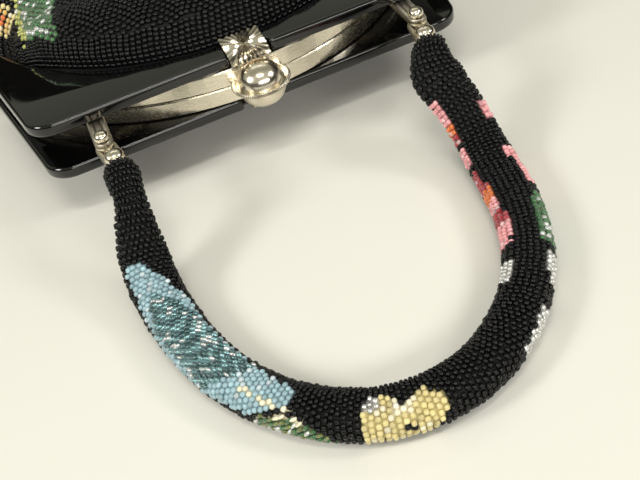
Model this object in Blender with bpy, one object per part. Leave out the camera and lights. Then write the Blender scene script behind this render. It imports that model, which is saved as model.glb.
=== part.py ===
"""Beaded evening bag lying on its back, modelled as separate solids in metres.

The frame runs along X, the mouth and the handle look along -Y, and +Z is up from the table.
While the pieces are made, y is 0 at the mouth edge of the frame plates and grows into the bag.
At the end everything moves so that the middle of the footprint is the origin.
"""
from math import asin, cos, pi, radians, sin, sqrt, tan

import bmesh
import bpy
import numpy as np

# Clearance between pieces that touch
GAP = 0.0003

# Acrylic frame plates
PLATE_LENGTH = 0.170
PLATE_THICKNESS = 0.0050
PLATE_CORNER_RADIUS = 0.0115
PLATE_ARM_LENGTH = 0.075
PLATE_ARM_FLARE = radians(11.0)
PLATE_ARM_END_WIDTH = 0.0094
PLATE_TOP_BAR = 0.0098
PLATE_EDGE_ROUND = 0.0013
ARM_END_ROUND = 0.0035
NOTCH_WIDTH = 0.0160
NOTCH_DEPTH = 0.0030
NOTCH_ROUND = 0.0012

# Metal half-frames: two strips stacked in z, arched in plan
FRAME_MIDDLE_Z = 0.0325
STRIP_HEIGHT = 0.0070
STRIP_WALL = 0.0020
STRIP_PROUD = 0.0008
STRIP_END_SHORT = 0.0030
STRIP_END_INSET = 0.0080
STRIP_CENTRE_BEYOND = 0.0130
STRIP_ROUND = 0.0005

# Hinges at the ends of the half-frames
HINGE_BEYOND_STRIP = 0.0060
EAR_RADIUS = 0.0048
EAR_THICKNESS = 0.0015
EAR_NECK_LENGTH = 0.0130
EAR_NECK_SHARE = 0.92
EAR_GAP = 0.0004
RIVET_RADIUS = 0.0012
RIVET_HEAD_RADIUS = 0.0023
RIVET_HEAD_THICKNESS = 0.0011

# Ball clasp
CLASP_CENTRE_Y = -0.0055
FLANGE_RADIUS = 0.0115
FLANGE_THICKNESS = 0.0015
FLANGE_NOTCHES = 36
FLANGE_NOTCH_DEPTH = 0.00025
DOME_RADIUS = 0.0082
DOME_HEIGHT = 0.0078
LOWER_DOME_RADIUS = 0.0086
LOWER_DOME_HEIGHT = 0.0078
STAR_LENGTH = 0.0145
STAR_DEPTH = 0.0105
STAR_FRONT_Y = -0.0012
STAR_THICKNESS = 0.0010
STAR_RELIEF = 0.0005
STAR_RAYS = 12
STRAP_WIDTH = 0.0085
STRAP_THICKNESS = 0.0011
BACK_TAB_LENGTH = 0.0100
BACK_TAB_DEPTH = 0.0060

# Connectors between frame and handle
LUG_X = 0.0622
LUG_WIDTH = 0.0070
LUG_THICKNESS = 0.0028
LUG_PROUD = 0.0165
LUG_RIB_COUNT = 10
LINK_PITCH = 0.0103
LINK_TURN = radians(9.0)
LINK_WIDTH = 0.0080
LINK_THICKNESS = 0.0026
LINK_RIB_COUNT = 7
RIB_DEPTH = 0.0004
PIN_RADIUS = 0.0012
PIN_END_DISTANCE = 0.0040
PIN_FOOT_RADIUS = 0.0020
PIN_FOOT_THICKNESS = 0.0007
SMALL_DOME_RADIUS = 0.0026
SMALL_DOME_HEIGHT = 0.0020
LARGE_DOME_RADIUS = 0.0037
LARGE_DOME_HEIGHT = 0.0028

# Beaded handle
HANDLE_WIDTH = 0.0172
HANDLE_HEIGHT = 0.0130
HANDLE_RINGS = 58
HANDLE_SIDES = 14
HANDLE_SQUARENESS = 2.3
HANDLE_ROUTE_MIDDLE = -0.0600
HANDLE_ROUTE_END_X = 0.0606
# Route of the handle's axis in plan, from the left connector to the right one, chosen by eye
HANDLE_ROUTE = [
    (-0.0606, -0.0270), (-0.0607, -0.0330), (-0.0614, -0.0395), (-0.0630, -0.0455), (-0.0644, -0.0520),
    (-0.0648, -0.0590), (-0.0642, -0.0690), (-0.0628, -0.0790), (-0.0597, -0.0950), (-0.0545, -0.1105),
    (-0.0455, -0.1265), (-0.0320, -0.1405), (-0.0170, -0.1485), (-0.0020, -0.1505), (0.0130, -0.1475),
    (0.0260, -0.1400), (0.0380, -0.1285), (0.0475, -0.1140), (0.0540, -0.0975), (0.0578, -0.0810),
    (0.0597, -0.0670), (0.0600, -0.0580), (0.0593, -0.0510), (0.0579, -0.0455), (0.0565, -0.0410),
    (0.0563, -0.0370), (0.0578, -0.0322), (0.0606, -0.0270),
]
# Sections along the handle: place along the length, width and height as shares, lift as a share of
# the height at which the connectors hold the ends
HANDLE_SECTION_SHARES = [
    # place, width, height, lift
    (0.000, 0.62, 0.70, 1.00),
    (0.012, 0.74, 0.84, 0.98),
    (0.038, 0.67, 0.80, 0.81),
    (0.060, 0.86, 0.90, 0.56),
    (0.085, 1.03, 0.96, 0.30),
    (0.110, 1.05, 0.98, 0.13),
    (0.150, 1.04, 1.00, 0.00),
    (0.300, 0.97, 1.00, 0.00),
    (0.500, 0.96, 1.02, 0.00),
    (0.700, 1.00, 1.00, 0.00),
    (0.850, 1.04, 0.99, 0.00),
    (0.890, 1.02, 0.97, 0.17),
    (0.915, 1.04, 0.96, 0.39),
    (0.937, 1.12, 0.95, 0.60),
    (0.953, 1.16, 0.94, 0.74),
    (0.971, 0.96, 0.90, 0.88),
    (0.988, 0.76, 0.84, 0.98),
    (1.000, 0.62, 0.70, 1.00),
]

# Beaded body, a pouch of two bulging sheets that join at the sides and the bottom
BODY_WALL = 0.0018
BODY_DEPTH = 0.1680
BODY_HALF_WIDTH = 0.1040
BODY_SIDE_BEYOND_HINGE = 0.0340
BODY_FRONT_RISE = 0.0290
BODY_BACK_DROP = 0.0385
BODY_LIP_ANGLE = radians(68.0)
BODY_OUTLINE_POWER = 0.80
BODY_LIP_FULLNESS = 8.0
BODY_FULLNESS = 2.6
BODY_PLATE_CLEARANCE = 0.0028
BODY_COLUMNS = 26
GATHER_COUNT = 13
GATHER_DEPTH = 0.0008
# Rows from the lip to the bottom seam, as shares: how far the row has come out from under the plate,
# how far it has run down to the bottom outline and spread out to it, its rise in front and its drop
# behind, and how deep its gathers are
BODY_ROW_SHARES = [
    # tuck, run, spread, front, back, gather
    (0.95, 0.000, 0.000, 0.475, 0.358, 0.0),
    (1.00, 0.022, 0.005, 0.560, 0.440, 0.5),
    (1.00, 0.060, 0.015, 0.665, 0.560, 1.0),
    (1.00, 0.120, 0.030, 0.790, 0.720, 1.0),
    (1.00, 0.200, 0.055, 0.900, 0.870, 0.8),
    (1.00, 0.310, 0.095, 0.975, 0.980, 0.5),
    (1.00, 0.415, 0.210, 1.000, 1.000, 0.3),
    (1.00, 0.500, 0.560, 0.990, 1.000, 0.3),
    (1.00, 0.600, 0.800, 0.950, 0.985, 0.3),
    (1.00, 0.715, 0.930, 0.860, 0.930, 0.4),
    (1.00, 0.820, 0.975, 0.710, 0.800, 0.5),
    (1.00, 0.900, 0.995, 0.535, 0.610, 0.5),
    (1.00, 0.960, 1.000, 0.320, 0.370, 0.3),
    (1.00, 1.000, 1.000, 0.000, 0.000, 0.0),
]
LIP_TUCK_SHARES = (0.0, 0.42, 0.83)


def clear_scene():
    """Remove what the file starts with."""
    for item in list(bpy.data.objects):
        bpy.data.objects.remove(item, do_unlink=True)


def material(name, colour, roughness, metallic):
    """One plain Principled material."""
    made = bpy.data.materials.new(name)
    made.use_nodes = True
    shader = made.node_tree.nodes["Principled BSDF"]
    shader.inputs["Base Color"].default_value = (*colour, 1.0)
    shader.inputs["Roughness"].default_value = roughness
    shader.inputs["Metallic"].default_value = metallic
    return made


def add_mesh(name, points, faces, finish, smooth=True):
    """Put points and faces into a new object with outward normals."""
    mesh = bpy.data.meshes.new(name)
    mesh.from_pydata([tuple(float(value) for value in point) for point in points], [], faces)
    shaped = bmesh.new()
    shaped.from_mesh(mesh)
    bmesh.ops.recalc_face_normals(shaped, faces=shaped.faces)
    shaped.to_mesh(mesh)
    shaped.free()
    if smooth:
        mesh.shade_smooth()
        mesh.set_sharp_from_angle(angle=radians(35.0))
    item = bpy.data.objects.new(name, mesh)
    bpy.context.scene.collection.objects.link(item)
    if finish is not None:
        item.data.materials.append(finish)
    return item


def as_tool(item):
    """Mark an object as a cutter or an operand that isn't part of the bag."""
    item.hide_render = True
    item.display_type = "WIRE"
    return item


def combine(item, tool, operation):
    """Add a Boolean with an operand that stays hidden."""
    as_tool(tool)
    change = item.modifiers.new(operation.lower(), "BOOLEAN")
    change.operation = operation
    change.solver = "EXACT"
    change.object = tool
    return item


def soften(item, width, segments):
    """Round the sharp edges of an object."""
    change = item.modifiers.new("round", "BEVEL")
    change.width = width
    change.segments = segments
    change.limit_method = "ANGLE"
    change.angle_limit = radians(40.0)
    return item


def extrude_outline(name, outline, low, high, finish, axis="Z"):
    """A prism over a plan outline, from low to high along one axis."""
    count = len(outline)
    points = []
    for level in (low, high):
        for first, second in outline:
            if axis == "Z":
                points.append((first, second, level))
            else:
                points.append((level, first, second))
    faces = [tuple(range(count)), tuple(range(count, 2 * count))]
    for index in range(count):
        follow = (index + 1) % count
        faces.append((index, follow, count + follow, count + index))
    return add_mesh(name, points, faces, finish)


def loft(name, rings, finish):
    """Skin a list of closed rings of equal length and close both ends."""
    count = len(rings[0])
    points = [point for ring in rings for point in ring]
    faces = [tuple(range(count)), tuple(range((len(rings) - 1) * count, len(rings) * count))]
    for row in range(len(rings) - 1):
        for index in range(count):
            follow = (index + 1) % count
            here = row * count
            faces.append((here + index, here + follow, here + count + follow, here + count + index))
    return add_mesh(name, points, faces, finish)


def turned(name, profile, centre, sides, finish, axis="Z"):
    """A solid turned round an axis, from (radius, height) pairs whose radii are above zero."""
    rings = []
    for radius, height in profile:
        ring = []
        for step in range(sides):
            angle = 2 * pi * step / sides
            across = radius * cos(angle)
            along = radius * sin(angle)
            if axis == "Z":
                ring.append((centre[0] + across, centre[1] + along, centre[2] + height))
            else:
                ring.append((centre[0] + height, centre[1] + across, centre[2] + along))
        rings.append(ring)
    return loft(name, rings, finish)


def box(name, low, high, finish):
    """An upright box between two corners."""
    outline = [(low[0], low[1]), (high[0], low[1]), (high[0], high[1]), (low[0], high[1])]
    return extrude_outline(name, outline, low[2], high[2], finish)


def fillet_outline(corners, steps=5):
    """Round the corners of a closed outline; each corner is x, y and its radius."""
    outline = []
    count = len(corners)
    for index, (x, y, radius) in enumerate(corners):
        if radius <= 0:
            outline.append((x, y))
            continue
        here = np.array([x, y])
        before = np.array(corners[index - 1][:2]) - here
        after = np.array(corners[(index + 1) % count][:2]) - here
        before = before / np.linalg.norm(before)
        after = after / np.linalg.norm(after)
        half_angle = 0.5 * np.arccos(np.clip(np.dot(before, after), -1, 1))
        middle = (before + after) / np.linalg.norm(before + after)
        centre = here + middle * radius / sin(half_angle)
        start = here + before * radius / tan(half_angle) - centre
        finish = here + after * radius / tan(half_angle) - centre
        first = np.arctan2(start[1], start[0])
        sweep = np.arctan2(finish[1], finish[0]) - first
        sweep = (sweep + pi) % (2 * pi) - pi
        for step in range(steps + 1):
            angle = first + sweep * step / steps
            outline.append((centre[0] + radius * cos(angle), centre[1] + radius * sin(angle)))
    return outline


def arm_outer_x(y):
    """Outer edge of a plate's right arm."""
    return PLATE_LENGTH / 2 + y * tan(PLATE_ARM_FLARE)


def arm_inner_end_x():
    """Where the arch ends at the right arm's end."""
    return arm_outer_x(PLATE_ARM_LENGTH) - PLATE_ARM_END_WIDTH


def arch_radius():
    """Radius of the circle through the middle of the top bar's inner edge and both arms' inner ends."""
    rise = PLATE_ARM_LENGTH - PLATE_TOP_BAR
    return (arm_inner_end_x() ** 2 + rise ** 2) / (2 * rise)


def arch_y(x, inset=0.0):
    """Inner edge of a plate, an arc of that circle; inset moves it towards the circle's centre."""
    return PLATE_TOP_BAR + arch_radius() - sqrt((arch_radius() - inset) ** 2 - x * x)


def plate_outline():
    """Plan of one frame plate: a wide U with a rounded notch at the clasp."""
    inner_end = arm_inner_end_x()
    half_notch = NOTCH_WIDTH / 2
    right = [
        (half_notch, NOTCH_DEPTH, NOTCH_ROUND),
        (half_notch, 0.0, NOTCH_ROUND),
        (PLATE_LENGTH / 2, 0.0, PLATE_CORNER_RADIUS),
        (arm_outer_x(PLATE_ARM_LENGTH), PLATE_ARM_LENGTH, ARM_END_ROUND),
        (inner_end, PLATE_ARM_LENGTH, 0.0),
    ]
    left = [(-x, y, radius) for x, y, radius in reversed(right)]
    arch = []
    arch_steps = 30
    for step in range(1, arch_steps):
        x = inner_end * sin(pi / 2 * (1 - 2 * step / arch_steps))
        arch.append((x, arch_y(x), 0.0))
    return fillet_outline(right + arch + left)


def make_plate(name, low, finish):
    """One glossy acrylic plate."""
    item = extrude_outline(name, plate_outline(), low, low + PLATE_THICKNESS, finish)
    return soften(item, PLATE_EDGE_ROUND, 2)


def strip_reach():
    """Where the metal arch ends, a little short of the plates' arms."""
    return PLATE_ARM_LENGTH - STRIP_END_SHORT


def strip_arch_depth():
    """Half depth of the ellipse that the metal arch follows."""
    return strip_reach() + STRIP_CENTRE_BEYOND


def strip_end_angle():
    """Angle at which the metal arch reaches its end at the hinge."""
    return pi / 2 - asin((strip_arch_depth() - STRIP_PROUD - strip_reach()) / strip_arch_depth())


def strip_half_width():
    """Half width of the ellipse, so that the arch ends under the middle of the plates' arms."""
    return (arm_outer_x(strip_reach()) - STRIP_END_INSET) / sin(strip_end_angle())


def strip_point(angle, inset):
    """Plan point of the metal arch, an ellipse, moved inward by inset."""
    x = (strip_half_width() - inset) * sin(angle)
    y = strip_arch_depth() - STRIP_PROUD - (strip_arch_depth() - inset) * cos(angle)
    return x, y


def hinge_y():
    """Where the hinges stand, just beyond the ends of the metal arch."""
    return strip_reach() + HINGE_BEYOND_STRIP


def ear_outline(neck_low, neck_high):
    """Side view of a hinge ear: a round end with a straight neck towards the strip."""
    outline = [(hinge_y() - EAR_NECK_LENGTH, neck_low)]
    first = pi - asin((neck_low - FRAME_MIDDLE_Z) / EAR_RADIUS)
    last = 3 * pi - asin((neck_high - FRAME_MIDDLE_Z) / EAR_RADIUS)
    steps = 20
    for step in range(steps + 1):
        angle = first + (last - first) * step / steps
        outline.append((hinge_y() + EAR_RADIUS * cos(angle), FRAME_MIDDLE_Z + EAR_RADIUS * sin(angle)))
    outline.append((hinge_y() - EAR_NECK_LENGTH, neck_high))
    return outline


def make_half_frame(name, low, ear_low_x, finish):
    """An arched metal strip with a drilled hinge ear at each end."""
    high = low + STRIP_HEIGHT - GAP / 2
    end = strip_end_angle()
    steps = 40
    rings = []
    for step in range(steps + 1):
        angle = end * (2 * step / steps - 1)
        ring = []
        for inset, level in (
            (STRIP_ROUND, low), (0.0, low + STRIP_ROUND), (0.0, high - STRIP_ROUND), (STRIP_ROUND, high),
            (STRIP_WALL - STRIP_ROUND, high), (STRIP_WALL, high - STRIP_ROUND),
            (STRIP_WALL, low + STRIP_ROUND), (STRIP_WALL - STRIP_ROUND, low),
        ):
            x, y = strip_point(angle, inset)
            ring.append((x, y, level))
        rings.append(ring)
    item = loft(name, rings, finish)
    neck_low = max(low + STRIP_ROUND, FRAME_MIDDLE_Z - EAR_RADIUS * EAR_NECK_SHARE)
    neck_high = min(high - STRIP_ROUND, FRAME_MIDDLE_Z + EAR_RADIUS * EAR_NECK_SHARE)
    for side in (-1, 1):
        near = side * ear_low_x
        far = side * (ear_low_x + EAR_THICKNESS)
        outline = ear_outline(neck_low, neck_high)
        ear = extrude_outline(name + "_ear", outline, min(near, far), max(near, far), None, axis="X")
        combine(item, ear, "UNION")
        hole = turned(
            name + "_hole",
            [(RIVET_RADIUS + GAP, -EAR_THICKNESS), (RIVET_RADIUS + GAP, EAR_THICKNESS)],
            ((near + far) / 2, hinge_y(), FRAME_MIDDLE_Z), 16, None, axis="X")
        combine(item, hole, "DIFFERENCE")
    return item


def make_rivet(name, side, ear_low_x, finish):
    """A plain rivet through both ears of one hinge, with a low head at each end."""
    inner = ear_low_x - GAP
    outer = ear_low_x + 2 * EAR_THICKNESS + EAR_GAP + GAP
    profile = [
        (RIVET_HEAD_RADIUS * 0.7, inner - RIVET_HEAD_THICKNESS),
        (RIVET_HEAD_RADIUS, inner - RIVET_HEAD_THICKNESS * 0.6),
        (RIVET_HEAD_RADIUS, inner),
        (RIVET_RADIUS, inner),
        (RIVET_RADIUS, outer),
        (RIVET_HEAD_RADIUS, outer),
        (RIVET_HEAD_RADIUS, outer + RIVET_HEAD_THICKNESS * 0.6),
        (RIVET_HEAD_RADIUS * 0.7, outer + RIVET_HEAD_THICKNESS),
    ]
    placed = [(radius, side * height) for radius, height in profile]
    return turned(name, placed, (0.0, hinge_y(), FRAME_MIDDLE_Z), 12, finish, axis="X")


def dome_profile(radius, height, foot, steps=4):
    """Radius and height pairs of a dome, from its foot to its top."""
    profile = [(radius, -foot)] if foot > 0 else []
    for step in range(steps):
        angle = pi / 2 * step / steps
        profile.append((radius * cos(angle), height * sin(angle)))
    profile.append((radius * 0.06, height))
    return profile


def milled_flange(name, low, high):
    """A flat round flange with a finely notched edge."""
    outline = []
    for step in range(2 * FLANGE_NOTCHES):
        angle = pi * step / FLANGE_NOTCHES
        radius = FLANGE_RADIUS - FLANGE_NOTCH_DEPTH * (step % 2)
        outline.append((radius * cos(angle), CLASP_CENTRE_Y + radius * sin(angle)))
    return extrude_outline(name, outline, low, high, None)


def strap_piece(name, z_plate, z_ball, direction, y_plate):
    """A bent strap from the plate's face over the rim to the ball, in profile along Y and Z."""
    y_rim = NOTCH_DEPTH - GAP - STRAP_THICKNESS
    y_ball = CLASP_CENTRE_Y
    bend = 0.0012
    outer = [
        (y_plate, z_plate + direction * STRAP_THICKNESS),
        (y_rim + bend, z_plate + direction * STRAP_THICKNESS),
        (y_rim + bend * 0.3, z_plate + direction * STRAP_THICKNESS * 0.72),
        (y_rim, z_plate),
        (y_rim - bend, z_plate - direction * 0.0030),
        (y_ball, z_ball + direction * 0.0020),
        (y_ball, z_ball),
        (y_rim + STRAP_THICKNESS, z_ball),
        (y_rim + STRAP_THICKNESS, z_plate),
        (y_plate, z_plate),
    ]
    return extrude_outline(name, outer, -STRAP_WIDTH / 2, STRAP_WIDTH / 2, None, axis="X")


def star_plate(name, low):
    """A rectangular plate whose top is fluted in rays that run from its middle to its edge."""
    half_x = STAR_LENGTH / 2
    middle_y = STAR_FRONT_Y + STAR_DEPTH / 2
    half_y = STAR_DEPTH / 2
    count = 2 * STAR_RAYS
    rim = []
    for step in range(count):
        angle = 2 * pi * (step + 0.5) / count
        reach = 1.0 / max(abs(cos(angle)) / half_x, abs(sin(angle)) / half_y)
        level = low + STAR_THICKNESS - STAR_RELIEF * (step % 2)
        rim.append((reach * cos(angle), middle_y + reach * sin(angle), level))
    corner_places = []
    for corner_x, corner_y in ((half_x, half_y), (-half_x, half_y), (-half_x, -half_y), (half_x, -half_y)):
        corner_places.append((corner_x, middle_y + corner_y, low + STAR_THICKNESS - STAR_RELIEF))
    ordered = sorted(rim + corner_places, key=lambda place: np.arctan2(place[1] - middle_y, place[0]))
    total = len(ordered)
    points = list(ordered)
    points += [(x, y, low) for x, y, level in ordered]
    points.append((0.0, middle_y, low + STAR_THICKNESS + STAR_RELIEF))
    faces = [tuple(range(total, 2 * total))]
    for index in range(total):
        follow = (index + 1) % total
        faces.append((index, follow, 2 * total))
        faces.append((index, follow, total + follow, total + index))
    return add_mesh(name, points, faces, None, smooth=False)


def make_clasp_front(z_plate_top, finish):
    """Star plate, strap, milled flange and upper dome, soldered into one piece."""
    seat = FRAME_MIDDLE_Z + GAP
    top = seat + FLANGE_THICKNESS
    item = turned(
        "clasp_front", dome_profile(DOME_RADIUS, DOME_HEIGHT, FLANGE_THICKNESS * 0.5, 6),
        (0.0, CLASP_CENTRE_Y, top), 24, finish)
    combine(item, milled_flange("clasp_flange", seat, top), "UNION")
    z_seat = z_plate_top + GAP
    combine(item, strap_piece("clasp_strap", z_seat, top + 0.0010, 1.0, NOTCH_DEPTH + 0.004), "UNION")
    combine(item, star_plate("clasp_star", z_seat), "UNION")
    clear_of_strip = -STRIP_PROUD - GAP
    back = box(
        "clasp_trim", (-FLANGE_RADIUS * 1.2, clear_of_strip, seat - 0.001),
        (FLANGE_RADIUS * 1.2, CLASP_CENTRE_Y + FLANGE_RADIUS * 1.2, z_plate_top - PLATE_THICKNESS), None)
    return combine(item, back, "DIFFERENCE")


def make_clasp_back(z_plate_bottom, finish):
    """Lower dome, strap and small tab on the back plate, soldered into one piece."""
    seat = FRAME_MIDDLE_Z - GAP
    profile = [(radius, -height) for radius, height in dome_profile(LOWER_DOME_RADIUS, LOWER_DOME_HEIGHT, 0.0, 6)]
    item = turned("clasp_back", profile, (0.0, CLASP_CENTRE_Y, seat), 24, finish)
    z_seat = z_plate_bottom - GAP
    combine(item, strap_piece("clasp_back_strap", z_seat, seat - 0.0030, -1.0, NOTCH_DEPTH + 0.002), "UNION")
    tab = box(
        "clasp_back_tab", (-BACK_TAB_LENGTH / 2, NOTCH_DEPTH + GAP, z_seat - STRAP_THICKNESS),
        (BACK_TAB_LENGTH / 2, NOTCH_DEPTH + BACK_TAB_DEPTH, z_seat), None)
    combine(item, tab, "UNION")
    trim = box(
        "clasp_back_trim", (-FLANGE_RADIUS, -STRIP_PROUD - GAP, z_plate_bottom + PLATE_THICKNESS),
        (FLANGE_RADIUS, CLASP_CENTRE_Y + FLANGE_RADIUS * 1.2, seat + 0.001), None)
    return combine(item, trim, "DIFFERENCE")


def ribbed_outline(half_width, low_y, high_y, ribs, end_radius):
    """Plan of a bar with small ribs along both sides and rounded ends."""
    right = []
    steps = 2 * ribs
    straight_low = low_y + end_radius
    straight_high = high_y - end_radius
    for step in range(steps + 1):
        y = straight_low + (straight_high - straight_low) * step / steps
        right.append((half_width - RIB_DEPTH * (step % 2), y))
    top = []
    arc_steps = 6
    for step in range(1, arc_steps):
        angle = pi * step / arc_steps
        top.append((half_width * cos(angle), straight_high + end_radius * sin(angle)))
    left = [(-x, y) for x, y in reversed(right)]
    bottom = [(-x, straight_low - (y - straight_high)) for x, y in top]
    return right + top + left + bottom


def lug_top_z():
    """Top of the lugs, just below the front plate and level with the upper strip."""
    return FRAME_MIDDLE_Z + STRIP_HEIGHT - GAP / 2


def link_top_z():
    """Top of the links, just below the lugs."""
    return lug_top_z() - LUG_THICKNESS - GAP


def lug_pin_y():
    """Where a lug's pin stands."""
    return PIN_END_DISTANCE - LUG_PROUD


def handle_pin_x():
    """How far the pin at the handle's end stands from the middle."""
    return LUG_X - LINK_PITCH * sin(LINK_TURN)


def handle_pin_y():
    """Where the pin at the handle's end stands."""
    return lug_pin_y() - LINK_PITCH * cos(LINK_TURN)


def pin_hole(name, x, y, top, depth):
    """Cutter for a pin's hole."""
    profile = [(PIN_RADIUS + GAP, -depth * 1.5), (PIN_RADIUS + GAP, depth * 0.5)]
    return turned(name, profile, (x, y, top), 12, None)


def make_lug(name, side, finish):
    """A flat ribbed lug that lies between the plates, from the half-frame out past the mouth edge."""
    wall_y = strip_point(asin((LUG_X - LUG_WIDTH / 2) / strip_half_width()), 0.0)[1]
    outline = ribbed_outline(LUG_WIDTH / 2, -LUG_PROUD, wall_y - GAP, LUG_RIB_COUNT, PIN_END_DISTANCE)
    placed = [(side * LUG_X + x, y) for x, y in outline]
    top = lug_top_z()
    item = extrude_outline(name, placed, top - LUG_THICKNESS, top, finish)
    return combine(item, pin_hole(name + "_hole", side * LUG_X, lug_pin_y(), top, LUG_THICKNESS), "DIFFERENCE")


def make_link(name, side, finish):
    """A ribbed link under the lug, turned a little inward about the lug's pin, that reaches to the handle."""
    low = -LINK_PITCH - PIN_END_DISTANCE
    outline = ribbed_outline(LINK_WIDTH / 2, low, PIN_END_DISTANCE, LINK_RIB_COUNT, PIN_END_DISTANCE)
    turn = side * LINK_TURN
    placed = []
    for x, y in outline:
        turned_x = x * cos(turn) + y * sin(turn)
        turned_y = y * cos(turn) - x * sin(turn)
        placed.append((side * LUG_X + turned_x, lug_pin_y() + turned_y))
    top = link_top_z()
    item = extrude_outline(name, placed, top - LINK_THICKNESS, top, finish)
    for x, y in ((LUG_X, lug_pin_y()), (handle_pin_x(), handle_pin_y())):
        combine(item, pin_hole(name + "_hole", side * x, y, top, LINK_THICKNESS), "DIFFERENCE")
    return item


def make_pin(name, x, y, head_z, dome_radius, dome_height, finish):
    """A domed pin whose shaft goes down through what it joins and ends in a flat foot."""
    foot_z = link_top_z() - LINK_THICKNESS - GAP - head_z
    profile = [
        (PIN_FOOT_RADIUS, foot_z - PIN_FOOT_THICKNESS), (PIN_FOOT_RADIUS, foot_z),
        (PIN_RADIUS, foot_z), (PIN_RADIUS, 0.0),
    ]
    profile += dome_profile(dome_radius, dome_height, 0.0)
    return turned(name, profile, (x, y, head_z), 12, finish)


def smooth_values(keys, values, places):
    """Values of a smooth curve through keyed rows, with slopes taken from the rows beside each."""
    keys = np.asarray(keys, dtype=float)
    values = np.asarray(values, dtype=float)
    slopes = np.gradient(values, keys, axis=0)
    index = np.clip(np.searchsorted(keys, places, side="right") - 1, 0, len(keys) - 2)
    width = keys[index + 1] - keys[index]
    part = (places - keys[index]) / width
    if values.ndim > 1:
        width = width[:, None]
        part = part[:, None]
    start_weight = 2 * part ** 3 - 3 * part ** 2 + 1
    end_weight = 3 * part ** 2 - 2 * part ** 3
    start_slope = part ** 3 - 2 * part ** 2 + part
    end_slope = part ** 3 - part ** 2
    curve = start_weight * values[index] + end_weight * values[index + 1]
    return curve + width * (start_slope * slopes[index] + end_slope * slopes[index + 1])


def make_handle(name, finish):
    """A slightly flattened tube swept along the route, drawn in at its ends and flat on the table."""
    route = np.array(HANDLE_ROUTE)
    middle = HANDLE_ROUTE_MIDDLE
    start_y = handle_pin_y() - PIN_END_DISTANCE - GAP
    shift = start_y - route[0, 1]
    fade = np.clip((route[:, 1] - middle) / (route[0, 1] - middle), 0.0, 1.0)
    route[:, 1] = route[:, 1] + shift * fade
    route[:, 0] = route[:, 0] + np.sign(route[:, 0]) * (handle_pin_x() - HANDLE_ROUTE_END_X) * fade
    steps = np.linalg.norm(np.diff(route, axis=0), axis=1)
    lengths = np.concatenate([[0.0], np.cumsum(steps)]) / np.sum(steps)
    places = np.linspace(0.0, 1.0, HANDLE_RINGS)
    plan = smooth_values(lengths, route, places)
    table = np.array(HANDLE_SECTION_SHARES)
    shares = smooth_values(table[:, 0], table[:, 1:], places)
    rest_z = HANDLE_HEIGHT / 2
    end_z = link_top_z() - LINK_THICKNESS / 2
    level = rest_z + np.clip(shares[:, 2], 0.0, 1.0) * (end_z - rest_z)
    axis_points = np.column_stack([plan, level])
    tangents = np.gradient(axis_points, axis=0)
    tangents[0] = (0.0, -1.0, 0.0)
    tangents[-1] = (0.0, 1.0, 0.0)
    tangents /= np.linalg.norm(tangents, axis=1)[:, None]
    sideways = np.cross(tangents, (0.0, 0.0, 1.0))
    sideways /= np.linalg.norm(sideways, axis=1)[:, None]
    upward = np.cross(sideways, tangents)
    angles = 2 * pi * np.arange(HANDLE_SIDES) / HANDLE_SIDES
    power = 2.0 / HANDLE_SQUARENESS
    across = np.sign(np.cos(angles)) * np.abs(np.cos(angles)) ** power
    above = np.sign(np.sin(angles)) * np.abs(np.sin(angles)) ** power
    rings = []
    for index in range(HANDLE_RINGS):
        half_width = HANDLE_WIDTH / 2 * shares[index, 0]
        half_height = HANDLE_HEIGHT / 2 * shares[index, 1]
        ring = axis_points[index] + np.outer(across * half_width, sideways[index])
        ring = ring + np.outer(above * half_height, upward[index])
        ring[:, 2] = np.maximum(ring[:, 2], 0.0)
        rings.append([tuple(point) for point in ring])
    return loft(name, rings, finish)


def body_lip(column, inset):
    """Plan of the lip, just inside the metal arch, for a column share from -1 to 1."""
    angle = column * BODY_LIP_ANGLE
    return np.array(strip_point(angle, STRIP_WALL + GAP + inset))


def body_bottom(column, inset):
    """Plan of the sides and bottom, a rounded outline, for a column share from -1 to 1."""
    angle = column * pi / 2
    side_y = hinge_y() + BODY_SIDE_BEYOND_HINGE
    reach = BODY_DEPTH - side_y - inset
    x = (BODY_HALF_WIDTH - inset) * np.sign(sin(angle)) * abs(sin(angle)) ** BODY_OUTLINE_POWER
    y = side_y + reach * abs(cos(angle)) ** BODY_OUTLINE_POWER
    return np.array([x, y])


def body_sheet_point(row, column, front, inset):
    """One point of the front or back sheet; inset above zero gives the inner side of the wall."""
    tuck, run, spread, front_rise, back_drop, gather = row
    lip = body_lip(column, inset)
    clear_y = arch_y(body_lip(column, 0.0)[0], BODY_PLATE_CLEARANCE) + inset
    lip[1] = lip[1] + tuck * (clear_y - lip[1])
    bottom = body_bottom(column, inset)
    x = lip[0] + (bottom[0] - lip[0]) * spread
    y = lip[1] + (bottom[1] - lip[1]) * run
    fullness = BODY_LIP_FULLNESS + (BODY_FULLNESS - BODY_LIP_FULLNESS) * min(1.0, run * 4)
    crown = sqrt(max(0.0, 1.0 - abs(column) ** fullness))
    fold = gather * GATHER_DEPTH * cos(pi * column * GATHER_COUNT) * crown * (1.0 - run)
    if front:
        height = (BODY_FRONT_RISE * front_rise + fold) * crown - inset
        z = FRAME_MIDDLE_Z + max(height, inset * 0.1)
    else:
        height = (BODY_BACK_DROP * back_drop + fold) * crown - inset
        z = max(FRAME_MIDDLE_Z - max(height, inset * 0.1), inset)
    return x, y, z


def body_rows():
    """The tabled rows, led by the lip between the two metal strips."""
    lip_rise = (STRIP_HEIGHT - GAP) / BODY_FRONT_RISE
    lip_drop = (STRIP_HEIGHT - GAP) / BODY_BACK_DROP
    lead = [(tuck, 0.0, 0.0, lip_rise, lip_drop, 0.0) for tuck in LIP_TUCK_SHARES]
    return lead + list(BODY_ROW_SHARES)


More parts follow.
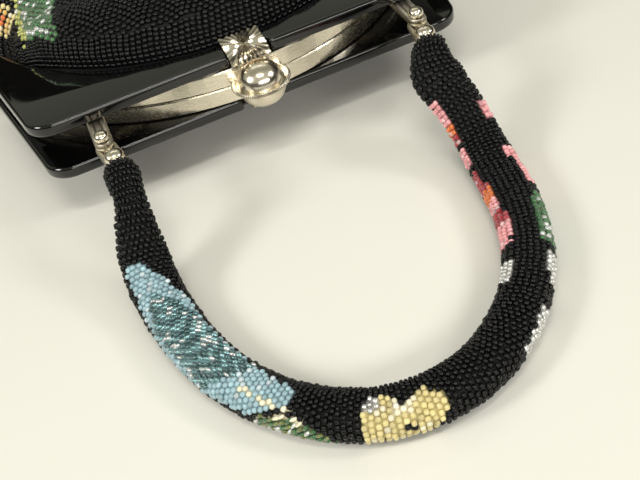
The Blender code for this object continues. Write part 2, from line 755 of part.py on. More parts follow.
def make_body(name, finish):
    """The hollow pouch: an outer and an inner skin, each of two sheets, joined at the open lip."""
    rows = body_rows()
    columns = [sin(pi / 2 * (2 * step / BODY_COLUMNS - 1)) for step in range(BODY_COLUMNS + 1)]
    points = []
    places = {}

    def place(row_index, column_index, front, inset):
        """Number of a point, shared by both sheets along the side and bottom seams."""
        seam = column_index in (0, BODY_COLUMNS) or row_index == len(rows) - 1
        key = (row_index, column_index, front or seam, inset)
        if key not in places:
            if seam:
                x, y, z = body_sheet_point(rows[row_index], columns[column_index], True, inset)
                point = (x, y, FRAME_MIDDLE_Z)
            else:
                point = body_sheet_point(rows[row_index], columns[column_index], front, inset)
            places[key] = len(points)
            points.append(point)
        return places[key]

    faces = []
    for inset in (0.0, BODY_WALL):
        for front in (True, False):
            for row_index in range(len(rows) - 1):
                for column_index in range(BODY_COLUMNS):
                    corners = [
                        place(row_index, column_index, front, inset),
                        place(row_index, column_index + 1, front, inset),
                        place(row_index + 1, column_index + 1, front, inset),
                        place(row_index + 1, column_index, front, inset),
                    ]
                    if len(set(corners)) > 2:
                        faces.append(tuple(dict.fromkeys(corners)))
    for front in (True, False):
        for column_index in range(BODY_COLUMNS):
            corners = [
                place(0, column_index, front, 0.0), place(0, column_index + 1, front, 0.0),
                place(0, column_index + 1, front, BODY_WALL), place(0, column_index, front, BODY_WALL),
            ]
            faces.append(tuple(dict.fromkeys(corners)))
    return add_mesh(name, points, faces, finish)


def bake_shapes():
    """Apply the modifiers of what is part of the bag and remove the tools."""
    graph = bpy.context.evaluated_depsgraph_get()
    kept = [item for item in bpy.data.objects if not item.hide_render]
    for item in kept:
        shaped = bpy.data.meshes.new_from_object(item.evaluated_get(graph))
        item.modifiers.clear()
        item.data = shaped
    for item in [item for item in bpy.data.objects if item.hide_render]:
        bpy.data.objects.remove(item, do_unlink=True)
    return kept


def centre_footprint(items):
    """Move everything so that the middle of the footprint is the origin."""
    points = np.array([tuple(vertex.co) for item in items for vertex in item.data.vertices])
    low = points.min(axis=0)
    high = points.max(axis=0)
    shift = np.array([-(low[0] + high[0]) / 2, -(low[1] + high[1]) / 2, -low[2]])
    for item in items:
        places = np.array([tuple(vertex.co) for vertex in item.data.vertices]) + shift
        item.data.vertices.foreach_set("co", places.ravel())
        item.data.update()
    print("moved by", np.round(shift, 5))
    print("size", np.round(high - low, 4))


def build():
    """Make the whole bag."""
    clear_scene()
    acrylic = material("black_acrylic", (0.010, 0.010, 0.011), 0.08, 0.0)
    metal = material("pale_nickel", (0.72, 0.66, 0.56), 0.22, 1.0)
    beads = material("black_seed_beads", (0.012, 0.012, 0.014), 0.22, 0.0)
    front_plate_z = FRAME_MIDDLE_Z + STRIP_HEIGHT + GAP
    back_plate_z = FRAME_MIDDLE_Z - STRIP_HEIGHT - GAP - PLATE_THICKNESS
    make_plate("front_plate", front_plate_z, acrylic)
    make_plate("back_plate", back_plate_z, acrylic)
    ear_inner = strip_point(strip_end_angle(), STRIP_WALL)[0] - EAR_GAP
    ear_outer = ear_inner + EAR_THICKNESS + EAR_GAP
    make_half_frame("front_half_frame", FRAME_MIDDLE_Z + GAP / 2, ear_inner, metal)
    make_half_frame("back_half_frame", FRAME_MIDDLE_Z - STRIP_HEIGHT, ear_outer, metal)
    make_clasp_front(front_plate_z + PLATE_THICKNESS, metal)
    make_clasp_back(back_plate_z, metal)
    for side, word in ((-1, "left"), (1, "right")):
        make_rivet(word + "_hinge_rivet", side, ear_inner, metal)
        make_lug(word + "_lug", side, metal)
        make_link(word + "_link", side, metal)
        make_pin(
            word + "_lug_pin", side * LUG_X, lug_pin_y(), lug_top_z() + GAP,
            SMALL_DOME_RADIUS, SMALL_DOME_HEIGHT, metal)
        make_pin(
            word + "_handle_pin", side * handle_pin_x(), handle_pin_y(), link_top_z() + GAP,
            LARGE_DOME_RADIUS, LARGE_DOME_HEIGHT, metal)
    make_handle("handle", beads)
    make_body("bag_body", beads)
    centre_footprint(bake_shapes())


build()
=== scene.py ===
# %% [markdown]
# # A beaded evening bag, lying on its back
# The bag has a pouch and a padded handle covered in glass seed beads, two polished black acrylic
# frame plates, arched metal half-frames between them and a ball clasp.
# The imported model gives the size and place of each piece. This lesson gives every piece its looks:
# smooth surfaces are worked out with numpy as whole arrays, and the beads are joined meshes.

import bpy
import numpy as np
from mathutils import Matrix, Vector
from mathutils.kdtree import KDTree


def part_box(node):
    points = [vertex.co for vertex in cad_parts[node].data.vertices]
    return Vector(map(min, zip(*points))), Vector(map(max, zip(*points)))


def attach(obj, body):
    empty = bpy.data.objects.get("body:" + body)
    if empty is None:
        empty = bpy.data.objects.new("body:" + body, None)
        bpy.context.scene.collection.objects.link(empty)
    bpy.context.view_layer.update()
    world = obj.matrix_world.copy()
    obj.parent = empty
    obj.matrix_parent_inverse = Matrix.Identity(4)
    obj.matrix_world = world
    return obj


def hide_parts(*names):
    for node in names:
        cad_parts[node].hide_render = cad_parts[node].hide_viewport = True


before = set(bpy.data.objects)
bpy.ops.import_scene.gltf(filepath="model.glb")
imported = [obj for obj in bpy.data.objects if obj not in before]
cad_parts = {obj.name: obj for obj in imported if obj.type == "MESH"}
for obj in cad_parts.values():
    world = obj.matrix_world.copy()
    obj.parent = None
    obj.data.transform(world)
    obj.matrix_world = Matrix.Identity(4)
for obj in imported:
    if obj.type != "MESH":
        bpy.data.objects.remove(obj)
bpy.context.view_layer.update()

rng = np.random.default_rng(7)
MM = 0.001
MOUTH_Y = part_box("front_plate")[0].y
MIDDLE_Z = (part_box("front_plate")[0].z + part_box("back_plate")[1].z) / 2

# %% [markdown]
# ## The camera
# The photo looks down at the handle from the front, a little from the left, with the camera rolled.
# A wide-angle look is avoided: the lens is a normal one, so edges that are parallel on the bag stay
# nearly parallel. The place, the three angles and the lens were matched to the plates' edges.

# %% Camera
IMAGE_WIDTH = 640
FOCAL_PIXELS = 950.0
CAMERA_PLACE = Vector((-0.0539, -0.3099 + MOUTH_Y, 0.2201))
CAMERA_YAW = np.radians(10.96)
CAMERA_DOWN = np.radians(41.25)
CAMERA_ROLL = np.radians(-15.8)


def camera_axes(yaw, down, roll):
    """Right, up and back directions of a camera that turns by yaw, tips down and rolls."""
    level_right = Vector((np.cos(yaw), -np.sin(yaw), 0.0))
    ahead = Vector((np.sin(yaw) * np.cos(down), np.cos(yaw) * np.cos(down), -np.sin(down)))
    level_up = level_right.cross(ahead)
    right = level_right * np.cos(roll) + level_up * np.sin(roll)
    up = level_up * np.cos(roll) - level_right * np.sin(roll)
    return right, up, -ahead


camera_data = bpy.data.cameras.new("camera")
camera_data.sensor_width = 36.0
camera_data.lens = FOCAL_PIXELS / IMAGE_WIDTH * camera_data.sensor_width
camera_data.clip_start = 0.01
camera_data.clip_end = 20.0
camera = bpy.data.objects.new("camera", camera_data)
turn = Matrix(camera_axes(CAMERA_YAW, CAMERA_DOWN, CAMERA_ROLL)).transposed()
camera.matrix_world = Matrix.Translation(CAMERA_PLACE) @ turn.to_4x4()
bpy.context.scene.collection.objects.link(camera)
bpy.context.scene.camera = camera
print("lens in mm", round(camera_data.lens, 1))

# %% [markdown]
# ## Putting arrays into meshes
# Every new piece is an array of points and an array of faces. foreach_set copies whole arrays at
# once, which is quick enough for hundreds of thousands of faces. A face array may mix triangles and
# quads: a triangle repeats no corner, so the two kinds are kept in two arrays.

# %% Mesh helpers
ROOT = "root"


def add_piece(name, points, quads=(), triangles=(), polygons=()):
    """A smooth mesh from arrays: points (n, 3), quads (m, 4), triangles (k, 3), and a few long polygons."""
    groups = [np.asarray(group, dtype=np.int64) for group in (quads, triangles) if len(group)]
    groups += [np.asarray(polygon, dtype=np.int64)[None, :] for polygon in polygons]
    corners = np.concatenate([group.ravel() for group in groups])
    sizes = np.concatenate([np.full(len(group), group.shape[1]) for group in groups])
    starts = np.concatenate([[0], np.cumsum(sizes)[:-1]])
    mesh = bpy.data.meshes.new(name)
    mesh.vertices.add(len(points))
    mesh.vertices.foreach_set("co", np.asarray(points, dtype=np.float32).ravel())
    mesh.loops.add(len(corners))
    mesh.loops.foreach_set("vertex_index", corners.astype(np.int32))
    mesh.polygons.add(len(sizes))
    mesh.polygons.foreach_set("loop_start", starts.astype(np.int32))
    mesh.update(calc_edges=True)
    mesh.validate()
    mesh.shade_smooth()
    piece = bpy.data.objects.new(name, mesh)
    bpy.context.scene.collection.objects.link(piece)
    return piece


def grid_quads(rows, columns, closed=False, start=0):
    """Quads of a grid of rows by columns points, closed round its columns if asked."""
    across = columns if closed else columns - 1
    row = np.arange(rows - 1)[:, None] * columns
    column = np.arange(across)[None, :]
    follow = (column + 1) % columns
    faces = np.stack([row + column, row + follow, row + columns + follow, row + columns + column], axis=-1)
    return faces.reshape(-1, 4) + start


def tube_piece(name, rings):
    """A closed surface over rings (rows, columns, 3), with a flat polygon at each end."""
    rows, columns = rings.shape[:2]
    last = (rows - 1) * columns
    ends = [np.arange(columns)[::-1], np.arange(columns) + last]
    return add_piece(name, rings.reshape(-1, 3), quads=grid_quads(rows, columns, closed=True), polygons=ends)


def mark_grooves(piece, depths):
    """Store how deep each point lies in a groove, 0 to 1, for the painted shade in the metal's grooves."""
    attribute = piece.data.attributes.new("groove", "FLOAT", "POINT")
    attribute.data.foreach_set("value", np.asarray(depths, dtype=np.float32).ravel())
    return piece

# %% [markdown]
# ## Finishing a mesh
# A closed shell whose faces point inwards is lit wrongly and exports inside out, so each closed piece is
# turned by the sign of its volume, which is a sum over its triangles. A finished piece gets its material
# and its slot, rides on the bag's one body, and hides the plain solid that it stands for.

# %% Piece helpers
def outward(piece):
    """Turn a closed piece's faces so that it has a positive volume."""
    mesh = piece.data
    mesh.calc_loop_triangles()
    corners = np.empty(len(mesh.loop_triangles) * 3, dtype=np.int32)
    mesh.loop_triangles.foreach_get("vertices", corners)
    places = np.empty(len(mesh.vertices) * 3, dtype=np.float32)
    mesh.vertices.foreach_get("co", places)
    corner_places = places.reshape(-1, 3)[corners.reshape(-1, 3)].astype(np.float64)
    middle = corner_places.reshape(-1, 3).mean(axis=0)
    first, second, third = (corner_places[:, index] - middle for index in range(3))
    volume = np.einsum("ij,ij->i", first, np.cross(second, third)).sum() / 6
    if volume < 0:
        mesh.flip_normals()
    return piece


def join_pieces(name, parts):
    """One object from several, kept as closed shells in one mesh."""
    with bpy.context.temp_override(
            active_object=parts[0], object=parts[0], selected_objects=parts, selected_editable_objects=parts):
        bpy.ops.object.join()
    parts[0].name = name
    parts[0].data.name = name
    return parts[0]


def sharp_edges(piece, degrees):
    """Keep edges steeper than an angle crisp in a smooth-shaded piece."""
    piece.data.set_sharp_from_angle(angle=np.radians(degrees))
    return piece


def finish_piece(piece, material, replaced=()):
    """Give a piece its material and slot, let it ride on the body, and hide what it stands for."""
    piece.data.materials.clear()
    piece.data.materials.append(material)
    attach(piece, ROOT)
    if replaced:
        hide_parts(*replaced)
    print(piece.name, "faces", len(piece.data.polygons))
    return piece

# %% [markdown]
# ## Curves through tables
# A shape that changes along a line, such as the handle or the pouch, is a table of a few rows. A cubic
# curve runs through them: between two rows it is a weighted sum of their values and their slopes.

# %% Curves through tables
def smooth_values(keys, values, places):
    """Values of a smooth curve through keyed rows, with slopes taken from the rows beside each."""
    keys = np.asarray(keys, dtype=float)
    values = np.asarray(values, dtype=float)
    slopes = np.gradient(values, keys, axis=0)
    index = np.clip(np.searchsorted(keys, places, side="right") - 1, 0, len(keys) - 2)
    width = keys[index + 1] - keys[index]
    part = (places - keys[index]) / width
    if values.ndim > 1:
        width = width[:, None]
        part = part[:, None]
    start_weight = 2 * part ** 3 - 3 * part ** 2 + 1
    end_weight = 3 * part ** 2 - 2 * part ** 3
    start_slope = part ** 3 - 2 * part ** 2 + part
    end_slope = part ** 3 - part ** 2
    curve = start_weight * values[index] + end_weight * values[index + 1]
    return curve + width * (start_slope * slopes[index] + end_slope * slopes[index + 1])


def unit(vectors):
    """Vectors along the last axis, each made one long."""
    return vectors / np.maximum(np.linalg.norm(vectors, axis=-1, keepdims=True), 1e-9)

# %% [markdown]
# ## Shared finish: wear
# Polished acrylic and plated metal both carry fine hairlines, dust and soft smudges. One node group
# makes them for every glossy material: a mask of long thin scratches, a mask of broad smudges, a mask
# of dust, and a normal that follows the scratches. Each material mixes them in at its own strength.

# %% Shader helpers
def new_group(name, inputs, outputs):
    """An empty shader node group with named float, colour or vector sockets."""
    group = bpy.data.node_groups.new(name, "ShaderNodeTree")
    for label, kind, value in inputs:
        socket = group.interface.new_socket(label, in_out="INPUT", socket_type=kind)
        if value is not None:
            socket.default_value = value
    for label, kind in outputs:
        group.interface.new_socket(label, in_out="OUTPUT", socket_type=kind)
    return group, group.nodes.new("NodeGroupInput"), group.nodes.new("NodeGroupOutput")


def math_node(tree, operation, *values):
    """A Math node fed by sockets or plain numbers; gives its output."""
    node = tree.nodes.new("ShaderNodeMath")
    node.operation = operation
    for index, value in enumerate(values):
        if isinstance(value, (int, float)):
            node.inputs[index].default_value = value
        else:
            tree.links.new(value, node.inputs[index])
    return node.outputs[0]


def map_range(tree, value, low, high, new_low, new_high):
    """A Map Range node, clamped; gives its output."""
    node = tree.nodes.new("ShaderNodeMapRange")
    tree.links.new(value, node.inputs["Value"])
    for label, number in (("From Min", low), ("From Max", high), ("To Min", new_low), ("To Max", new_high)):
        node.inputs[label].default_value = number
    return node.outputs["Result"]


def mix_colour(tree, factor, first, second, blend="MIX"):
    """A colour Mix node; its colours may be sockets or plain colours. Gives its output."""
    node = tree.nodes.new("ShaderNodeMix")
    node.data_type = "RGBA"
    node.blend_type = blend
    if isinstance(factor, (int, float)):
        node.inputs["Factor"].default_value = factor
    else:
        tree.links.new(factor, node.inputs["Factor"])
    for label, value in (("A", first), ("B", second)):
        socket = next(item for item in node.inputs if item.name == label and item.type == "RGBA")
        if isinstance(value, tuple):
            socket.default_value = (*value, 1.0)
        else:
            tree.links.new(value, socket)
    return next(item for item in node.outputs if item.type == "RGBA")


def noise(tree, vector, scale, detail=3.0, roughness=0.5, distortion=0.0):
    """A Noise Texture; gives its Factor output."""
    node = tree.nodes.new("ShaderNodeTexNoise")
    node.inputs["Scale"].default_value = scale
    node.inputs["Detail"].default_value = detail
    node.inputs["Roughness"].default_value = roughness
    node.inputs["Distortion"].default_value = distortion
    tree.links.new(vector, node.inputs["Vector"])
    return node.outputs["Fac"]


def stretched(tree, vector, scale, turn=0.0):
    """A Mapping node that stretches and turns a pattern; gives its output."""
    node = tree.nodes.new("ShaderNodeMapping")
    node.inputs["Scale"].default_value = scale
    node.inputs["Rotation"].default_value = (0.0, 0.0, turn)
    tree.links.new(vector, node.inputs["Vector"])
    return node.outputs["Vector"]

# %% Wear group
wear_group, wear_in, wear_out = new_group(
    "wear",
    (("Vector", "NodeSocketVector", None), ("Hairline Depth", "NodeSocketFloat", 0.05)),
    (("Hairlines", "NodeSocketFloat"), ("Smudges", "NodeSocketFloat"), ("Dust", "NodeSocketFloat"),
     ("Normal", "NodeSocketVector")))
long_way = stretched(wear_group, wear_in.outputs["Vector"], (60.0, 2600.0, 900.0), 0.25)
cross_way = stretched(wear_group, wear_in.outputs["Vector"], (2300.0, 70.0, 900.0), -0.4)
first_lines = map_range(wear_group, noise(wear_group, long_way, 1.0, 2.0), 0.66, 0.78, 0.0, 1.0)
second_lines = map_range(wear_group, noise(wear_group, cross_way, 1.0, 2.0), 0.70, 0.80, 0.0, 1.0)
hairlines = math_node(wear_group, "MAXIMUM", first_lines, second_lines)
smudges = map_range(
    wear_group, noise(wear_group, wear_in.outputs["Vector"], 55.0, 4.0, 0.6, 0.8), 0.45, 0.75, 0.0, 1.0)
dust = map_range(wear_group, noise(wear_group, wear_in.outputs["Vector"], 1900.0, 2.0), 0.72, 0.80, 0.0, 1.0)
height = math_node(wear_group, "SUBTRACT", 0.5, hairlines)
bump = wear_group.nodes.new("ShaderNodeBump")
bump.inputs["Distance"].default_value = 0.00002
wear_group.links.new(height, bump.inputs["Height"])
wear_group.links.new(wear_in.outputs["Hairline Depth"], bump.inputs["Strength"])
for label, value in (("Hairlines", hairlines), ("Smudges", smudges), ("Dust", dust),
                     ("Normal", bump.outputs["Normal"])):
    wear_group.links.new(value, wear_out.inputs[label])
print("wear group nodes", len(wear_group.nodes))

# %% Material helpers
def new_material(name):
    """A material with a Principled shader; gives the material, its tree and the shader."""
    material = bpy.data.materials.new(name)
    material.use_nodes = True
    return material, material.node_tree, material.node_tree.nodes["Principled BSDF"]


def object_vector(tree):
    """Object coordinates, in metres in the bag's own frame."""
    return tree.nodes.new("ShaderNodeTexCoord").outputs["Object"]


def use_wear(tree, vector, depth):
    """The wear group placed in a material."""
    node = tree.nodes.new("ShaderNodeGroup")
    node.node_tree = wear_group
    tree.links.new(vector, node.inputs["Vector"])
    node.inputs["Hairline Depth"].default_value = depth
    return node

# %% [markdown]
# ## Polished black acrylic
# The plates are cast acrylic sheet, buffed to a mirror. Its black is deep, so what shows is what it
# mirrors, a soft grey light and the beads. Age shows as faint hairlines and a few soft smudges, which
# only change the roughness.

# %% Acrylic material
acrylic, tree, shader = new_material("polished_black_acrylic")
vector = object_vector(tree)
wear = use_wear(tree, vector, 0.12)
shader.inputs["IOR"].default_value = 1.49
shader.inputs["Coat Weight"].default_value = 0.35
shader.inputs["Coat Roughness"].default_value = 0.03
black = mix_colour(tree, noise(tree, vector, 30.0, 3.0), (0.0012, 0.0012, 0.0015), (0.0024, 0.0023, 0.0022))
tree.links.new(black, shader.inputs["Base Color"])
rough = math_node(tree, "MULTIPLY_ADD", wear.outputs["Smudges"], 0.07, 0.045)
rough = math_node(tree, "ADD", rough, math_node(tree, "MULTIPLY", wear.outputs["Hairlines"], 0.10))
tree.links.new(rough, shader.inputs["Roughness"])
tree.links.new(wear.outputs["Normal"], shader.inputs["Normal"])
print("acrylic nodes", len(tree.nodes))

# %% [markdown]
# ## Pale nickel plate
# The metal is a warm pale nickel, between silver and champagne. The strips are drawn metal with fine
# lines along their length, the clasp and the pins are buffed, and the lower dome, the lugs and the
# links have a satin grain. The cut grooves get painted shade: a piece with grooves carries their
# depth as an attribute, and the material darkens by it. The maker function takes the grain's
# strength and the roughness, and builds one material for each finish.

# %% Metal materials
def nickel(name, base, roughness, grain_scale, grain_strength, stain):
    """Pale nickel: a grain of stretched noise, stains from the wear group, painted shade where groove is near
    1.
    """
    material, tree, shader = new_material(name)
    vector = object_vector(tree)
    wear = use_wear(tree, vector, 0.08)
    shader.inputs["Metallic"].default_value = 1.0
    lines = noise(tree, stretched(tree, vector, grain_scale), 1.0, 3.0, 0.6)
    darker = tuple(channel * 0.72 for channel in base)
    tarnish = tuple(channel * shade for channel, shade in zip(base, (0.60, 0.50, 0.36)))
    tone = mix_colour(tree, map_range(tree, lines, 0.30, 0.70, 0.0, 0.20), base, darker)
    spots = math_node(tree, "MULTIPLY", wear.outputs["Smudges"], stain)
    # Painted shade: points deep in a groove are darkened towards deep brown by their stored depth
    cut = tree.nodes.new("ShaderNodeAttribute")
    cut.attribute_name = "groove"
    groove_shade = math_node(tree, "MULTIPLY", cut.outputs["Fac"], 0.85)
    stained = mix_colour(tree, spots, tone, tarnish)
    tree.links.new(mix_colour(tree, groove_shade, stained, (0.05, 0.04, 0.025)), shader.inputs["Base Color"])
    rough = map_range(tree, lines, 0.2, 0.8, roughness * 0.75, roughness * 1.3)
    rough = math_node(tree, "ADD", rough, math_node(tree, "MULTIPLY", wear.outputs["Smudges"], 0.24 * stain))
    tree.links.new(rough, shader.inputs["Roughness"])
    bump = tree.nodes.new("ShaderNodeBump")
    bump.inputs["Strength"].default_value = grain_strength
    bump.inputs["Distance"].default_value = 0.00003
    tree.links.new(lines, bump.inputs["Height"])
    tree.links.new(wear.outputs["Normal"], bump.inputs["Normal"])
    tree.links.new(bump.outputs["Normal"], shader.inputs["Normal"])
    return material


NICKEL_COLOUR = (0.84, 0.77, 0.63)
strip_nickel = nickel("drawn_nickel", NICKEL_COLOUR, 0.26, (25.0, 1200.0, 2400.0), 0.04, 0.05)
dome_nickel = nickel("buffed_nickel", NICKEL_COLOUR, 0.21, (700.0, 700.0, 700.0), 0.05, 0.25)
satin_nickel = nickel("satin_nickel", NICKEL_COLOUR, 0.34, (2600.0, 2600.0, 2600.0), 0.30, 0.25)
print("metal colours", NICKEL_COLOUR)

# %% [markdown]
# ## Glass seed beads
# A bead is a short piece of glass rod, rounded in a kiln: wider than it is long, with smooth shoulders.
# Each piece of beadwork is one mesh made of thousands of beads, so colour and lustre can't come from a
# material each. Every bead carries its colour and its lustre as attributes, and one material reads
# them. Lustre is 0 for opaque jet, 0.5 for pearl and 1 for silver-lined glass. Lustre also drives a
# painted sheen: the colour is mixed towards white where a bead turns away from the viewer, for the
# light that a silver lining gives back from inside.

# %% Bead material
bead_glass, tree, shader = new_material("seed_bead_glass")
vector = object_vector(tree)
colour_node = tree.nodes.new("ShaderNodeAttribute")
colour_node.attribute_name = "bead_colour"
lustre_node = tree.nodes.new("ShaderNodeAttribute")
lustre_node.attribute_name = "bead_lustre"
lustre = lustre_node.outputs["Fac"]
bead_wear = use_wear(tree, vector, 0.0)
dust_share = math_node(tree, "MULTIPLY", bead_wear.outputs["Dust"], 0.10)
dusty = mix_colour(tree, dust_share, colour_node.outputs["Color"], (0.45, 0.42, 0.36))
# Painted sheen: with lustre, a bead's colour goes towards white at its edges as seen from the camera
facing = tree.nodes.new("ShaderNodeLayerWeight")
facing.inputs["Blend"].default_value = 0.35
painted_sheen = math_node(tree, "MULTIPLY", facing.outputs["Facing"], math_node(tree, "MULTIPLY", lustre, 0.5))
tree.links.new(mix_colour(tree, painted_sheen, dusty, (0.95, 0.93, 0.88)), shader.inputs["Base Color"])
tree.links.new(map_range(tree, lustre, 0.6, 1.0, 0.0, 0.72), shader.inputs["Metallic"])
tree.links.new(map_range(tree, lustre, 0.0, 0.5, 0.09, 0.22), shader.inputs["Roughness"])
tree.links.new(map_range(tree, lustre, 0.0, 0.5, 0.26, 0.50), shader.inputs["Specular IOR Level"])
shader.inputs["IOR"].default_value = 1.53

# The cloth that the beads are sewn to shows as darkness between black beads. Under clear and coloured
# glass it gets painted light in the beads' colour, which the same attribute carries: light that passes
# through the glass, added to the cloth's own dark colour
cloth, tree, shader = new_material("black_backing_cloth")
vector = object_vector(tree)
weave = noise(tree, stretched(tree, vector, (3000.0, 3000.0, 3000.0)), 1.0, 2.0)
painted_bead_light = tree.nodes.new("ShaderNodeAttribute")
painted_bead_light.attribute_name = "bead_colour"
dark_weave = mix_colour(tree, weave, (0.001, 0.001, 0.001), (0.006, 0.006, 0.006))
tree.links.new(mix_colour(tree, 1.0, dark_weave, painted_bead_light.outputs["Color"], "ADD"), shader.inputs["Base Color"])
shader.inputs["Roughness"].default_value = 0.9
print("bead material ready")

# %% [markdown]
# ## Many beads in one mesh
# One bead is a squashed ball of eight sides. For bead k with centre c, right-handed axes a (along the
# thread), b (across) and n (out of the cloth) and half sizes s, a point p of the unit bead goes to
# c + p.x s.x a + p.y s.y b + p.z s.z n. The whole piece is one such sum over arrays.

# %% One bead
def unit_bead(sides=8, levels=(-0.62, 0.0, 0.62)):
    """A ball squared up a little at its shoulders: points, quads and triangles, with its pole along Y."""
    angles = 2 * np.pi * np.arange(sides) / sides
    rings = []
    for level in levels:
        radius = (1.0 - abs(level) ** 2.6) ** (1 / 2.6)
        ring = [radius * np.cos(angles), np.full(sides, level), radius * np.sin(angles)]
        rings.append(np.column_stack(ring))
    points = np.concatenate(rings + [np.array([[0.0, -0.93, 0.0], [0.0, 0.93, 0.0]])])
    quads = grid_quads(len(levels), sides, closed=True)[:, ::-1]
    around = np.arange(sides)
    follow = (around + 1) % sides
    low_pole = len(points) - 2
    high_start = (len(levels) - 1) * sides
    low_cap = np.column_stack([np.full(sides, low_pole), around, follow])
    high_cap = np.column_stack([high_start + follow, high_start + around, np.full(sides, low_pole + 1)])
    return points, quads, np.concatenate([low_cap, high_cap])

# %% Many beads
def bead_piece(name, centres, along, outwards, half_sizes, colours, lustres, sides=8):
    """A joined mesh of beads: along is the thread's direction, outwards the cloth's normal."""
    points, quads, triangles = unit_bead(sides)
    normal = unit(outwards)
    thread = unit(along - normal * np.einsum("ij,ij->i", along, normal)[:, None])
    across = np.cross(normal, thread)
    count = len(centres)
    sizes = np.broadcast_to(np.asarray(half_sizes, dtype=float), (count, 3))
    placed = (
        centres[:, None, :]
        + (points[None, :, 1] * sizes[:, :1])[..., None] * thread[:, None, :]
        + (points[None, :, 0] * sizes[:, 1:2])[..., None] * across[:, None, :]
        + (points[None, :, 2] * sizes[:, 2:])[..., None] * normal[:, None, :])
    step = (np.arange(count) * len(points))[:, None, None]
    piece = add_piece(
        name, placed.reshape(-1, 3), quads=(quads[None] + step).reshape(-1, 4),
        triangles=(triangles[None] + step).reshape(-1, 3))
    per_bead = len(points)
    colour = piece.data.attributes.new("bead_colour", "FLOAT_COLOR", "POINT")
    rgba = np.column_stack([colours, np.ones(count)])
    colour.data.foreach_set("color", np.repeat(rgba, per_bead, axis=0).astype(np.float32).ravel())
    lustre = piece.data.attributes.new("bead_lustre", "FLOAT", "POINT")
    lustre.data.foreach_set("value", np.repeat(lustres, per_bead).astype(np.float32))
    triangles_each = 2 * len(quads) + len(triangles)
    print(name, "beads", count, "triangles", count * triangles_each)
    return outward(piece)

# %% [markdown]
# ## No two beads alike
# Beads sewn by hand sit a little unevenly, and glass varies from rod to rod. So places, directions,
# sizes and shades get small random shifts, from one generator with a fixed seed, which gives the same
# bag each time. A few silver-lined beads get painted glints: their colour is made nearly white, and a
# few pearl ones are painted paler.

# %% Variation
def jitter(count, amount):
    """Small random shifts in three directions, the same at each run."""
    return rng.normal(0.0, amount, (count, 3))


def shade_jitter(colours, amount):
    """Bead colours made a little lighter and darker at random, as glass varies from rod to rod."""
    return np.clip(colours * (1.0 + rng.normal(0.0, amount, (len(colours), 1))), 0.0, 1.0)


def paint_glints(colours, lustres):
    """Painted glints: some silver-lined beads are coloured nearly white, and a few pearl ones paler."""
    draw = rng.random(len(lustres))
    bright = (lustres > 0.7) & (draw < 0.18)
    pale = (lustres > 0.3) & (lustres <= 0.7) & (draw < 0.10)
    # Painted glints: the chosen beads' colours are pushed towards white
    colours = colours.copy()
    colours[bright] = 0.3 * colours[bright] + 0.58
    colours[pale] = 0.6 * colours[pale] + 0.34
    return colours


def turned(threads, normals, angles):
    """Thread directions turned about the cloth's normal: t cos a + (n x t) sin a."""
    normals = unit(normals)
    threads = unit(threads - normals * np.einsum("ij,ij->i", threads, normals)[:, None])
    return threads * np.cos(angles)[:, None] + np.cross(normals, threads) * np.sin(angles)[:, None]

# %% Bead colours
BLACK = (0.0020, 0.0020, 0.0023)
DEEP_GREEN = (0.024, 0.125, 0.030)
GOLD_GREEN = (0.150, 0.180, 0.040)
LEAF_YELLOW = (0.42, 0.45, 0.10)
LIGHT_BLUE = (0.295, 0.445, 0.50)
TEAL = (0.056, 0.138, 0.148)
TEAL_LIGHT = (0.22, 0.40, 0.42)
PALE_YELLOW = (0.65, 0.55, 0.24)
CREAM = (0.78, 0.72, 0.52)
GOLD_YELLOW = (0.70, 0.46, 0.12)
CLEAR_WHITE = (0.62, 0.62, 0.60)
PINK = (0.82, 0.36, 0.38)
RED = (0.36, 0.010, 0.025)
ORANGE = (0.72, 0.16, 0.02)
print("darkest and lightest bead colour", BLACK, CREAM)

# %% [markdown]
# ## The pouch's surface
# The pouch is two bulging sheets, front and back, over one pair of shares: the column share u runs
# from -1 at the left side to 1 at the right one, the row share v from the lip down to the bottom seam.
# The lip is an ellipse inside the metal arch, the bottom a rounded outline, and a table of rows says
# how far each row has come out, run down, spread and risen. The curve through the table is smooth.

